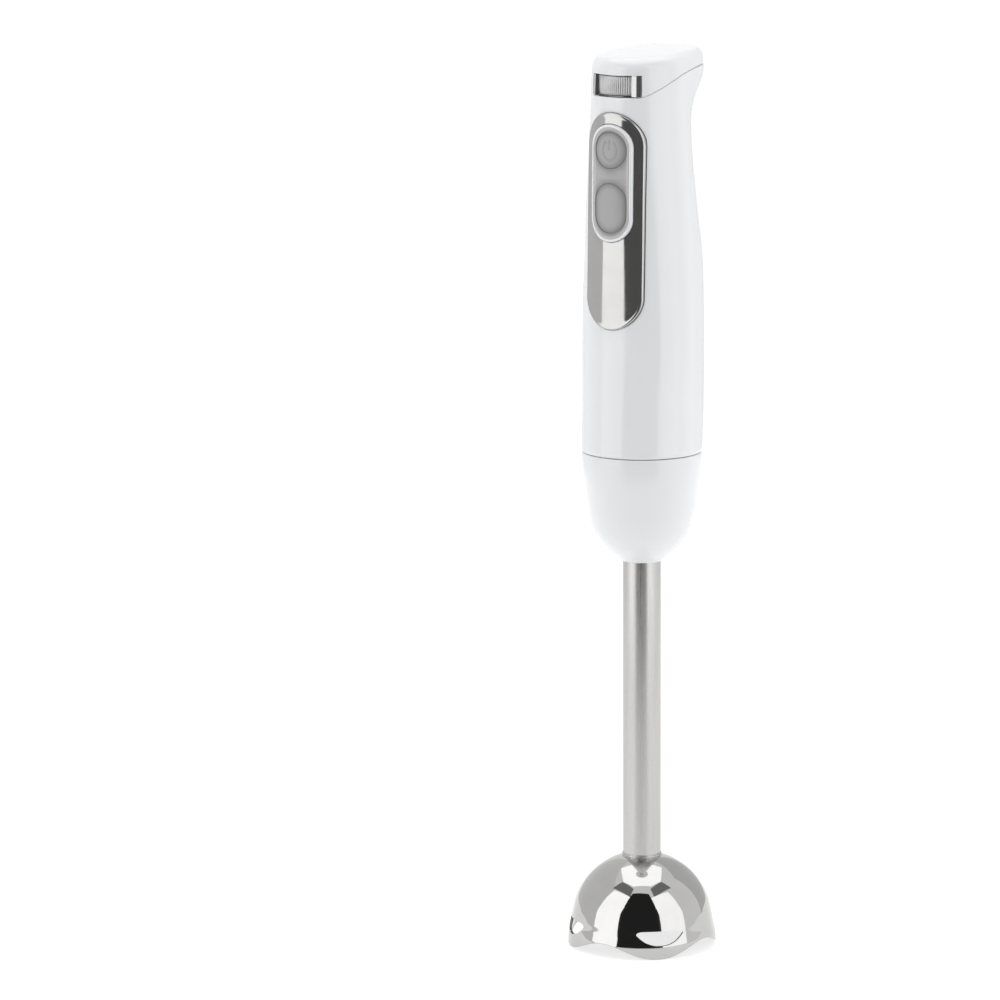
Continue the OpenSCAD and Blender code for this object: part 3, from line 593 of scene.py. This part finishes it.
# How far from the axis the cutters through the front start, and end past the sleeve and past the pad
CUT_FROM, SLEEVE_CUT, PAD_CUT = 12, 32, 34
COLUMNS = 168


def skin_height(x, z, off):
    """Point of the front skin straight behind (x, z), with its offset."""
    w, d = skin_at(z, 3) + off, skin_at(z, 1) + off
    return x, -d * math.sqrt(max(0.0, 1 - (x / w) ** 2)), z


def pillow(name, w, h, z_mid, profile, node, inner_rings=9, bottom=0.1, outline_n=72):
    """Plate with a stadium outline on the front skin; profile is (inset, height) from its rim inwards."""
    rings = []
    for inset, lift in profile:
        rings.append([skin_height(x, z_mid + y, lift) for x, y in stadium(w, h, outline_n, inset)])
    last_inset, last_lift = profile[-1]
    core = w / 2 - last_inset
    close = core * 0.97
    for k in range(1, inner_rings + 1):
        inset = last_inset + close * k / inner_rings
        rings.append([skin_height(x, z_mid + y, last_lift) for x, y in stadium(w, h, outline_n, inset)])
    n = len(rings[0])
    under = [[skin_height(x, z_mid + y, bottom) for x, y in stadium(w, h, outline_n, inset)]
             for inset in (close + last_inset, core * 0.6, core * 0.3, profile[0][0])]
    count = len(rings)
    rings += under
    points = [p for ring in rings for p in ring]
    faces = [f for i, f in enumerate(loops_to_faces(len(rings), n, True))
             if not (count - 1) * n <= i < count * n]
    half = n // 2
    for at_end in (count - 1, count):
        k = at_end * n
        for j in range(half):
            a, b = j, (j + 1) % n
            c, d = (n - j - 1) % n, (n - j) % n
            quad = (k + a, k + b, k + c, k + d)
            if len(set(quad)) == 4:
                faces.append(quad)
            elif len(set(quad)) == 3:
                faces.append(tuple(dict.fromkeys(quad)))
    return make_piece(name, points, faces, node, 40)


def build_housing():
    """Sleeve of the handle with its inner wall, the strip's pocket and the keys' holes."""
    cols = angles(COLUMNS)
    levels = 96
    # Each ring of the sleeve: share of the height, offset from the skin, lift
    plan = [(0, -0.35, 0), (0, -0.1, 0.1), (0, 0, 0.4)]
    plan += [(i / levels, 0, 0) for i in range(1, levels)]
    plan += [(1, 0, -0.45), (1, -0.12, -0.12), (1, -0.4, 0), (1, -SHELL_T, 0)]
    plan += [(i / 24, -SHELL_T, 0) for i in range(23, -1, -1)]
    rings = []
    for u, off, lift in plan:
        ring = [sleeve_pt(u, a, off, lift) for a in cols]
        rings.append([clear_of_wheel(p) for p in ring] if off <= -SHELL_T else ring)
    obj = ring_body("handle_sleeve", rings, "housing", smooth=40)
    wide = 2 * (BUTTON_R + GAP)
    pocket = pillow("cutter", TRIM_W + 2 * TRIM_GAP, TRIM_H + 2 * TRIM_GAP, TRIM_Z, [(0, -0.3), (0, 3)],
                    "housing", 16, bottom=-0.5, outline_n=96)
    cut(obj, [pocket, prism(stadium(wide, ROUND_H + 2 * GAP), CUT_FROM, SLEEVE_CUT, POWER_Z),
              prism(stadium(wide, TURBO_L + wide), CUT_FROM, SLEEVE_CUT, TURBO_Z)], 40)
    stand_for(obj, "housing")


# ---------------------------------------------------------------- top cap
CAP_MID, CAP_DOME = 4.5, 0.9    # where the top closes, and how far it domes
CAP_FRONT_Z, CAP_SLOPE, CAP_FRONT_Y = 377.6, 0.06, -20.0
CAP_BASE_Z = 367                # height at which the skin's plan sets the seam
EDGE_R, EDGE_EASE = 5.5, 1.3    # rounding of the top edge at the front, and how much less at the rear
CAP_CLOSE = 0.985               # how far the top's rings draw in towards their middle
GLAND_AT, GLAND_TILT = (0, 24.5, 375.9), -45


def cap_top(y):
    """Height of the cap's top edge, which slopes up to the rear."""
    return CAP_FRONT_Z + CAP_SLOPE * (y - CAP_FRONT_Y)


def cap_ring(stage, t, off, cols):
    """One ring of the cap: stage 0 climbs the wall, 1 rounds the edge, 2 closes the top."""
    ring = []
    for a in cols:
        base = skin_pt(CAP_BASE_Z, a, off)
        z0 = seam_at(base[1])
        back = (1 - cos(a)) / 2
        r = EDGE_R - EDGE_EASE * back + off
        top = cap_top(base[1]) + off
        z = z0 + (t if stage == 0 else 1) * (top - r - z0)
        x, y, _ = skin_pt(z, a, off)
        far = math.hypot(x, y - CAP_MID)
        b = (0, t, 1)[stage] * pi / 2
        f = t if stage == 2 else 0
        s = (far - (r * (1 - cos(b)) if stage else 0)) / far * (1 - CAP_CLOSE * f)
        nx, ny = x * s, CAP_MID + (y - CAP_MID) * s
        if stage:
            z = top - r + r * sin(b) + CAP_DOME * (1 - (1 - CAP_CLOSE * f) ** 2) * (stage == 2)
            z += cap_top(ny) - cap_top(y)
        ring.append((nx, ny, z))
    return ring


def build_cap():
    """Hollow cap: the outer wall and top, and the inner ones, each closed at its middle."""
    cols = angles(COLUMNS)
    outer = [cap_ring(0, i / 12, 0, cols) for i in range(13)]
    outer[0] = [(x, y, z + 0.35) for x, y, z in outer[0]]
    lip = [(x * 0.994, y * 0.994, z - 0.35) for x, y, z in outer[0]]
    outer += [cap_ring(1, i / 12, 0, cols) for i in range(1, 13)]
    outer += [cap_ring(2, i / 14, 0, cols) for i in range(1, 15)]
    inner = [cap_ring(2, i / 6, -CAP_T, cols) for i in range(6, 0, -1)]
    inner += [cap_ring(1, i / 6, -CAP_T, cols) for i in range(6, 0, -1)]
    inner += [[clear_of_wheel(p) if p[2] < WINDOW[1] + 0.2 else p for p in cap_ring(0, i / 8, -CAP_T, cols)]
              for i in range(8, -1, -1)]
    rings = outer + inner + [lip]
    n = len(cols)
    split = len(outer)
    points = [p for ring in rings for p in ring]
    faces = loops_to_faces(len(rings), n, True)
    faces = faces[:(split - 1) * n] + faces[split * n:]
    for at_end in (split - 1, split):
        close_ring(points, faces, rings[at_end], at_end * n)
    return make_piece("cap_shell", points, faces, "top_cap", 40)


def skin_wedge(z0, z1, a0, a1, inner, outer, nz, na):
    """Cutter: a block of the handle's skin between two heights, angles and offsets."""
    def grid(off):
        return [[skin_pt(z0 + (z1 - z0) * i / nz, math.radians(a0 + (a1 - a0) * j / na), off)
                 for j in range(na + 1)] for i in range(nz + 1)]
    rings = [top + low[::-1] for top, low in zip(grid(outer), grid(inner))]
    n = len(rings[0])
    points = [p for ring in rings for p in ring]
    faces = loops_to_faces(len(rings), n, False)
    for at_end in (0, nz):
        for j in range(na):
            k = at_end * n
            faces.append((k + j, k + j + 1, k + n - 2 - j, k + n - 1 - j))
    return solid_mesh("cutter", points, faces)


def finish_cap(obj):
    """Cuts the speed window and the gland's hole."""
    lo, hi, half = WINDOW
    window = skin_wedge(lo - 4, hi + 0.15, -half - 0.5, half + 0.5, inner=-5, outer=3, nz=8, na=32)
    hole_r, hole_l, hole_shift = 4.3 * MM, 26 * MM, 1 * MM
    gland = bpy.data.meshes.new("cutter")
    bm = bmesh.new()
    bmesh.ops.create_cone(bm, cap_ends=True, segments=64, radius1=hole_r, radius2=hole_r, depth=hole_l)
    at = Matrix.Translation([v * MM for v in GLAND_AT])
    bmesh.ops.transform(bm, verts=bm.verts, matrix=at @ Matrix.Rotation(math.radians(GLAND_TILT), 4, "X")
                        @ Matrix.Translation((0, 0, hole_shift)))
    bm.to_mesh(gland)
    bm.free()
    cut(obj, [window, put_in_scene("cutter", gland)], 40)
    stand_for(obj, "top_cap")


build_housing()
finish_cap(build_cap())


# ---------------------------------------------------------------- chrome strip, pad and buttons
BEAD_W = 1.248                  # width of the pale bead round the pad
KEY_FIT = 0.06                  # gap between a key and the pad
STRIP_FIT = 0.35                # gap between the bead and the strip


def build_trim():
    """Chrome strip with a rolled rim and the pad's cut-out."""
    rim = [(0.0, -0.45), (0.0, 0.55), (0.07, 0.74), (0.22, 0.88), (0.45, 0.95), (0.75, 0.95), (1.0, 0.9),
           (1.25, 0.84), (1.6, 0.82)]
    plate = pillow("chrome_strip", TRIM_W, TRIM_H, TRIM_Z, rim, "trim_plate", 16, bottom=-0.4)
    opening = stadium(BEZEL_W + 2 * STRIP_FIT, BEZEL_H + 2 * STRIP_FIT, 96)
    cut(plate, [prism(opening, CUT_FROM, PAD_CUT, BEZEL_Z)], 40)
    stand_for(plate, "trim_plate")


def build_bezel():
    """Soft pad inside a slim pale bead."""
    bead = [(0.0, 0.2), (0.0, 1.4), (0.12, 1.64), (0.36, 1.8), (0.66, 1.84), (0.96, 1.76), (1.176, 1.56),
            (BEAD_W, 1.3), (BEAD_W, 0.2)]
    rings = [[skin_height(x, BEZEL_Z + y, lift) for x, y in stadium(BEZEL_W, BEZEL_H, 120, inset)]
             for inset, lift in bead]
    ring = ring_body("pad_bead", rings, "housing", smooth=50)
    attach(ring, "handle")
    rim = [(0.0, 0.0), (0.0, 1.28), (0.1, 1.44), (0.4, 1.46), (0.9, 1.4), (1.5, 1.3), (2.2, 1.24)]
    inside = 2 * (BEAD_W + 0.03)
    pad = pillow("soft_pad", BEZEL_W - inside, BEZEL_H - inside, BEZEL_Z, rim, "button_bezel", 12,
                 bottom=-0.3, outline_n=120)
    wide = 2 * (BUTTON_R + KEY_FIT)
    cut(pad, [prism(stadium(wide, ROUND_H + 2 * KEY_FIT, 120), CUT_FROM, PAD_CUT, POWER_Z),
              prism(stadium(wide, TURBO_L + wide, 120), CUT_FROM, PAD_CUT, TURBO_Z)], 40)
    soften(pad, 0.13, 3, 50, 60)
    # painted shade in the pad round the keys' holes
    shade_rims(pad)
    stand_for(pad, "button_bezel")


def rim_distance(x, z):
    """How far a point of the pad lies from the nearer button's edge."""
    power = abs(math.hypot(x, z - POWER_Z) - BUTTON_R)
    reach = max(abs(z - TURBO_Z) - TURBO_L / 2, 0)
    return min(power, abs(math.hypot(x, reach) - BUTTON_R))


def shade_rims(obj):
    """Writes how much painted shade each point gets in the dip round a button, and how near the pad's border
    it lies.
    """
    painted_shade_width, border_from, border_w = 1.7, 2.6, 1.4
    mesh = obj.data
    painted_shade_and_mark_darkening = mesh.attributes.new("painted_shade_and_mark_darkening", "FLOAT", "POINT")
    border = mesh.attributes.new("border", "FLOAT", "POINT")
    straight = (BEZEL_H - BEZEL_W) / 2
    for vert, dark, pale in zip(mesh.vertices, painted_shade_and_mark_darkening.data, border.data):
        x, z = vert.co.x / MM, vert.co.z / MM
        # painted shade, strongest at a key's edge
        dark.value = math.exp(-(rim_distance(x, z) / painted_shade_width) ** 2)
        edge = BEZEL_W / 2 - math.hypot(x, max(abs(z - BEZEL_Z) - straight, 0))
        pale.value = max(0.0, min(1.0, (border_from - edge) / border_w))


def build_button(name, z_mid, h, node, symbol):
    """Domed rubber key with its skirt, flange and stem."""
    profile = [(-1.2, -4.2), (-1.2, -3.1), (-0.05, -2.9), (0.0, -2.4), (0.0, 0.98), (0.04, 1.09), (0.2, 1.2),
               (0.55, 1.29), (1.1, 1.38), (1.7, 1.46), (2.4, 1.56), (3.3, 1.67), (4.2, 1.74), (5.2, 1.78)]
    key = pillow(name, 2 * BUTTON_R, h, z_mid, profile, node, 4, bottom=-4.2, outline_n=120)
    stem = turned_at("stem", [(0.01, 15.65), (1.8, 15.6), (2.15, 15.9), (2.2, 19.6), (0.01, 19.6)], z_mid)
    join([key, stem])
    # painted shade on the key near its rim
    shade_rims(key)
    if symbol:
        mark = power_mark(z_mid)
        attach(mark, BODY_OF[node])
    stand_for(key, node)


def turned_at(name, profile, z_mid, segments=32):
    """Outline of (radius, depth) turned round a line out of the front at height z_mid."""
    rings = [[(r * sin(2 * pi * j / segments), -d, z_mid + r * cos(2 * pi * j / segments))
              for j in range(segments)] for r, d in profile]
    return ring_body(name, rings, "power_button", closed=False, caps=(True, True))


def power_mark(z_mid):
    """Faintly raised generic on-off mark: a bar in an open ring, a little darker than the key."""
    half_line, ring_w, ring_h, gap_deg, darkness = 0.6, 3.2, 4.1, 68, 0.3

    def bar(path, name):
        """A low rounded ridge along a path of points, each with its sideways direction."""
        rings = []
        for (x, y), (nx, ny) in path:
            ring = []
            for side, lift in ((-1, 1.45), (-1, 1.7), (-0.75, 1.87), (-0.3, 1.92), (0.3, 1.92), (0.75, 1.87),
                               (1, 1.7), (1, 1.45)):
                reach = half_line * side
                ring.append(skin_height(x + nx * reach, z_mid + y + ny * reach, lift))
            rings.append(ring)
        return ring_body(name, rings, "power_button", closed=False, caps=(True, True))

    arc = []
    for k in range(61):
        a = math.radians(gap_deg / 2 + (360 - gap_deg) * k / 60)
        arc.append(((ring_w * sin(a), ring_h * cos(a)), (sin(a), cos(a))))
    line = [((0, 0.2 + 0.5 * k), (1, 0)) for k in range(9)]
    mark = join([bar(arc, "power_mark"), bar(line, "power_line")])
    shade = mark.data.attributes.new("painted_shade_and_mark_darkening", "FLOAT", "POINT")
    for item in shade.data:
        item.value = darkness
    return mark


build_trim()
build_bezel()
build_button("power_key_cap", POWER_Z, ROUND_H, "power_button", True)
build_button("turbo_key_cap", TURBO_Z, TURBO_L + 2 * BUTTON_R, "turbo_button", False)


# ---------------------------------------------------------------- speed wheel and its window
RIBS, RIB_DEPTH = 112, 0.17
RIM_BORE, HUB_R, AXLE_R = 16.5, 5.6, 3.1
WINDOW_SILL = 0.3               # how far the wheel and the posts reach below the window's edge


def build_wheel():
    """Ribbed wheel: a rim with a hub on a web."""
    n = RIBS * 6
    lo, hi = WINDOW[0] - WINDOW_SILL, WINDOW[1] - 0.25

    def ring(z, extra, depth=1.0):
        out = []
        for j in range(n):
            a = 2 * pi * j / n
            wave = abs(sin(a * RIBS / 2)) ** 0.8
            r = WHEEL_R - 0.02 - RIB_DEPTH * depth * (1 - wave) + extra
            out.append((r * sin(a), WHEEL_Y - r * cos(a), z))
        return out

    def plain(z, r):
        return [(r * sin(2 * pi * j / n), WHEEL_Y - r * cos(2 * pi * j / n), z) for j in range(n)]

    rings = [plain(lo, RIM_BORE), plain(lo, WHEEL_R - 0.75), ring(lo + 0.1, -0.25, 0.3), ring(lo + 0.4, 0),
             ring((lo + hi) / 2, 0), ring(hi - 0.4, 0), ring(hi - 0.1, -0.25, 0.3),
             plain(hi, WHEEL_R - 0.75), plain(hi, RIM_BORE), plain(hi - 0.3, RIM_BORE - 0.2),
             plain(lo + 1.9, RIM_BORE - 0.3), plain(lo + 1.8, HUB_R), plain(hi - 0.4, HUB_R - 0.1),
             plain(hi - 0.3, AXLE_R), plain(lo + 0.1, AXLE_R), plain(lo, AXLE_R + 0.2)]
    wheel = ring_body("ribbed_wheel", rings, "speed_dial", smooth=50)
    stand_for(wheel, "speed_dial")


def build_window():
    """Chrome surround: a ramp and a face at each end, and slim rails behind the wheel's edges."""
    lo, hi, half = WINDOW[0] - WINDOW_SILL, WINDOW[1], WINDOW[2]
    floor, rail_lift, rail_h = -1.35, -1.12, 0.12
    rail_from, rail_to = -28.2, 24.2

    def section(a, lift, z_lo, z_hi):
        return [skin_pt(z, a, off) for z, off in ((z_lo, floor), (z_lo, lift), (z_hi, lift), (z_hi, floor))]

    face = [(half - 0.5, 0.0), (half - 0.1, -0.15)]
    right = [(23.6, -0.95), (24.0, -0.87), (28.9, 0.2), (29.3, 0.26), (29.7, 0.24)] + face
    left = [(27.7, -1.05), (27.85, -0.95), (28.9, 0.2), (29.2, 0.26), (29.6, 0.24)] + face
    pieces = []
    for side, cuts in ((1, right), (-1, left)):
        rings = [section(math.radians(side * a), lift, lo, hi) for a, lift in cuts]
        pieces.append(ring_body("post", rings, "dial_frame", closed=False, caps=(True, True), smooth=14))
    for z0, z1 in ((lo, lo + rail_h), (hi - rail_h, hi)):
        rings = [section(math.radians(rail_from + (rail_to - rail_from) * k / 40), rail_lift, z0, z1)
                 for k in range(41)]
        pieces.append(ring_body("rail", rings, "dial_frame", closed=False, caps=(True, True), smooth=30))
    window = join(pieces)
    window.name = "chrome_window"
    stand_for(window, "dial_frame")


build_wheel()
build_window()


def build_gland():
    """Rubber bush of the cord's outlet with a softly rounded mouth."""
    outline = [(3.3, -6), (5.2, -6), (5.2, -4.4), (4.2, -4.4), (4.2, 2.2), (3.3, 2.2)]
    segments = 64
    turn = Matrix.Rotation(math.radians(GLAND_TILT), 3, "X")
    rings = []
    for r, h in rounded(outline, 0.4):
        around = [2 * pi * j / segments for j in range(segments)]
        rings.append([tuple(turn @ Vector((r * cos(a), r * sin(a), h)) + Vector(GLAND_AT)) for a in around])
    stand_for(ring_body("cord_bush", rings, "cord_gland"), "cord_gland")


build_gland()


# ---------------------------------------------------------------- the foot
# Outside of the collar: height, radius
COLLAR = [(166, 9.2), (168.6, 12.4), (172, 16.2), (176.4, 19.3), (181, 21.2), (187, 22.6),
          (195, 23.6), (203, 24.75), (211.7, 25.25)]
COLLAR_TOP, TUBE_SEAT_R = 211.7, 8.06
TUBE_R, TUBE_BORE, TUBE_LOW, TUBE_TOP = 8.0, 7.2, 33.5, 187.8


def build_collar():
    """White cup with a rounded upper lip and a small rolled edge round the tube."""
    outer = [(r, z) for z, r in curve_through(COLLAR, 8)]
    outer = outer[:-1] + [(25.22, COLLAR_TOP - 0.35), (25.12, COLLAR_TOP - 0.08), (24.85, COLLAR_TOP)]
    outline = [(TUBE_SEAT_R, 165.5), (8.3, 165.3), (8.7, 165.35)] + outer
    outline += [(23.25, COLLAR_TOP)] + [(r - 2, z + 0.8) for z, r in COLLAR[7:2:-1]]
    outline += [(14.2, 174), (TUBE_SEAT_R, 174)]
    stand_for(turned("collar_cup", outline, "foot_collar", 200, 40), "foot_collar")


def build_tube():
    """Steel tube with softened ends."""
    first, last = TUBE_LOW + 0.5, TUBE_TOP - 0.8
    outline = [(TUBE_BORE, TUBE_LOW), (TUBE_R - 0.1, TUBE_LOW), (TUBE_R, TUBE_LOW + 0.3)]
    outline += [(TUBE_R, first + (last - first) * k / 40) for k in range(41)]
    outline += [(TUBE_R, TUBE_TOP - 0.3), (TUBE_R - 0.1, TUBE_TOP), (TUBE_BORE, TUBE_TOP)]
    outline += [(TUBE_BORE, TUBE_TOP + (TUBE_LOW - TUBE_TOP) * k / 20) for k in range(1, 20)]
    stand_for(turned("steel_tube", outline, "shaft_tube", 128, 40), "shaft_tube")


# Dome: radius, height of its centre and wall; how high the rim's arches rise; the neck
BELL_R, BELL_Z, BELL_T, ARCH = 30.0, 9.2, 1.2, 5.6
NECK_R = 8.15
# Bell's slots: bearing of the first, half width, lower and upper edge, bulge of the upper one
SLOT_TURN, SLOT_HALF, SLOT_LOW, SLOT_HIGH, SLOT_CROWN = 48, 10.2, 5.75, 11.9, 1.5
# Skirt of the bell below its dome: height, radius
SKIRT = [(-3, 31.5), (0, 31.46), (2, 31.42), (4, 31.31), (5, 31.2), (6, 31.04), (8, 30.64), (9.5, 30.31),
         (13, 29.69), (16.5, 28.96), (20, 27.97), (23, 26.64), (26, 24.86)]
SKIRT_TOP = 21.5                # where the dome takes over


def bell_side(z, r):
    """Radius of the bell's wall at a height; r is the dome's own radius, outside or inside."""
    if z < SKIRT_TOP:
        return along(SKIRT, z, 1) + r - BELL_R
    return math.sqrt(r ** 2 - (z - BELL_Z) ** 2)


def rim_height(a):
    """Height of the bell's scalloped rim at an angle from the front."""
    wave = (1 - cos(4 * (a - pi / 4))) / 2
    return ARCH * wave ** 1.12


def build_bell():
    """Pressed bell: dome, skirt, scalloped rim with a rounded edge, and four slots."""
    cols = angles(360)
    top = BELL_Z + math.sqrt(BELL_R ** 2 - NECK_R ** 2)
    in_top = BELL_Z + math.sqrt((BELL_R - BELL_T) ** 2 - NECK_R ** 2)
    levels = 110

    def spot(a, u, r, peak, low):
        """u runs from the rim to the neck; heights ease in towards the neck."""
        z = low + (peak - low) * (1 - (1 - u) ** 1.7)
        side = NECK_R if u >= 1 else bell_side(z, r)
        return side * sin(a), -side * cos(a), z

    rings = []
    for i in range(levels + 1):
        rings.append([spot(a, i / levels, BELL_R, top, rim_height(a) + 0.35) for a in cols])
    for i in range(levels // 2, -1, -1):
        rings.append([spot(a, i / (levels // 2), BELL_R - BELL_T, in_top, rim_height(a) + 0.3) for a in cols])
    for share, drop in ((0.22, 0.08), (0.5, 0.0), (0.8, 0.1)):
        low = []
        for a in cols:
            z = rim_height(a)
            r = bell_side(z, BELL_R) - BELL_T * (1 - share)
            low.append((r * sin(a), -r * cos(a), z + drop))
        rings.append(low)
    bell = ring_body("bell_shell", rings, "bell_guard", smooth=40)
    cutters = []
    for k in range(4):
        turn = Matrix.Rotation(math.radians(SLOT_TURN + 90 * k), 3, "Z")
        near, far = ([tuple(turn @ Vector((x, -d, z))) for x, z in slot_outline()] for d in (22, 38))
        cutters.append(slab(near, far))
    cut(bell, cutters, 40)
    stand_for(bell, "bell_guard")


def slot_outline(n=40):
    """Slot with a nearly straight top, a bowed lower edge and blunt ends: (x, z)."""
    ends = SLOT_HIGH - SLOT_CROWN
    out = []
    for k in range(n + 1):
        t = -cos(pi * k / n)
        out.append((SLOT_HALF * t, ends - (ends - SLOT_LOW) * (1 - abs(t) ** 2.4)))
    for k in range(1, n):
        t = cos(pi * k / n)
        out.append((SLOT_HALF * t, ends + SLOT_CROWN * math.sqrt(max(0, 1 - abs(t) ** 9))))
    return out


def build_neck():
    """Slim grooved ring where the tube meets the bell."""
    outline = [(8.05, 37.9), (8.45, 37.9), (8.4, 38.1), (8.15, 38.25), (8.35, 38.4), (8.4, 38.65),
               (8.35, 38.9), (8.15, 39.02), (8.25, 39.15), (8.28, 39.3), (8.22, 39.45), (8.1, 39.5),
               (8.05, 39.5)]
    stand_for(turned("neck_collar", outline, "neck_ring", 128, 50), "neck_ring")


build_collar()
build_tube()
build_bell()
build_neck()


def build_blade():
    """Two wings, ground to an edge, one pitched up and one down, on a pressed hub."""
    root, reach, thick, tilt, mid_z = 3.2, 21.5, 1.4, 12, 10.4
    pieces = [turned("hub", rounded([(1.95, 10.2), (4.6, 10.2), (4.6, 12.2), (1.95, 12.2)], 0.3),
                     "blade", 64)]
    for s in (0, 1):
        rings = []
        spin = Matrix.Rotation(pi * s, 3, "Z")
        pitch = Matrix.Rotation(math.radians(tilt if s == 0 else -tilt), 3, "X")
        for k in range(25):
            t = k / 24
            x = root + (reach - root) * t
            lead = 3.5 - 2.0 * max(0, (t - 0.72) / 0.28) ** 1.5 * 1.6
            trail = -3.6 + 1.2 * max(0, (t - 0.8) / 0.2) ** 2
            ground = 0.22 + 0.78 * (1 - min(1, t * 5))
            edge = thick * ground * 0.5 + 0.12
            section = ((trail, 0.1), (trail, thick), (lead - 2.2, thick), (lead, edge), (lead, 0.02),
                       (lead - 2.4, 0))
            rings.append([tuple(spin @ (pitch @ Vector((x, y, z)) + Vector((0, 0, mid_z))))
                          for y, z in section])
        pieces.append(ring_body("wing", rings, "blade", closed=False, caps=(True, True), smooth=25))
    stand_for(join(pieces), "blade")


build_blade()


# ---------------------------------------------------------------- light and stage
def card(name, corners, strength):
    """Glowing panel of the studio, hidden from the camera; a weak one reflects as near black."""
    mesh = bpy.data.meshes.new(name)
    mesh.from_pydata(corners, [], [tuple(range(len(corners)))])
    obj = put_in_scene(name, mesh)
    mat = bpy.data.materials.new(name)
    mat.use_nodes = True
    tree = mat.node_tree
    tree.nodes.clear()
    glow = add(tree, "ShaderNodeEmission", Strength=strength)
    glow.inputs["Color"].default_value = (1, 1, 1, 1)
    out = tree.nodes.new("ShaderNodeOutputMaterial")
    tree.links.new(glow.outputs["Emission"], out.inputs["Surface"])
    mesh.materials.append(mat)
    obj.visible_camera = False


def place_at(bearing, distance, height):
    """Point at a bearing from the camera's own side, in metres."""
    a = math.radians(AZIMUTH + bearing)
    return sin(a) * distance, -cos(a) * distance, height


def wall(name, foot, head, distance, z0, z1, strength):
    """Upright panel between two bearings at its foot and two at its head."""
    corners = ((foot[0], z0), (foot[1], z0), (head[1], z1), (head[0], z1))
    card(name, [place_at(bearing, distance, z) for bearing, z in corners], strength)


def build_stage():
    """Pale floor with a glow of its own, and an even white surround."""
    half, floor_glow = 6.0, 0.72
    mesh = bpy.data.meshes.new("floor")
    mesh.from_pydata([(-half, -half, 0), (half, -half, 0), (half, half, 0), (-half, half, 0)], [],
                     [(0, 1, 2, 3)])
    floor = put_in_scene("floor", mesh)
    mat, _, shader = new_material("floor", (0.4, 0.4, 0.4), 0.9)
    shader.inputs["Emission Color"].default_value = (1, 1, 1, 1)
    shader.inputs["Emission Strength"].default_value = floor_glow
    mesh.materials.append(mat)
    world = bpy.data.worlds.new("studio")
    world.use_nodes = True
    sky = world.node_tree.nodes["Background"]
    sky.inputs["Color"].default_value = (1, 1, 1, 1)
    sky.inputs["Strength"].default_value = 1.0
    bpy.context.scene.world = world


def build_lights():
    """Each wall: bearings at its foot and head, distance, lower and upper edge in metres, and strength."""
    wall("dark_card", (-41, 30), (-27, 17), 0.62, 0.015, 0.95, 0.025)
    wall("left_box", (-84, -38), (-76, -25), 0.9, 0.02, 1.05, 1.9)
    wall("right_box", (29, 72), (20, 66), 0.9, 0.02, 1.05, 1.8)
    wall("left_gap", (-84, -30), (-84, -30), 0.9, 1.06, 1.9, 0.25)
    wall("right_gap", (28, 82), (28, 82), 0.9, 1.06, 1.9, 0.25)
    wall("left_grey", (-165, -72), (-165, -72), 1.2, 0.0, 1.3, 0.84)
    wall("right_grey", (114, 165), (114, 165), 1.2, 0.0, 1.3, 0.7)
    outline = [(-142, 0.9), (-80, 0.6), (-35, 0.52), (35, 0.52), (80, 0.6), (142, 0.9)]
    card("top_box", [place_at(b, reach, 1.3) for b, reach in outline], 1.9)


build_stage()
build_lights()

scene = bpy.context.scene
scene.view_settings.view_transform = "Standard"
scene.view_settings.look = "None"
scene.view_settings.exposure = 0.0
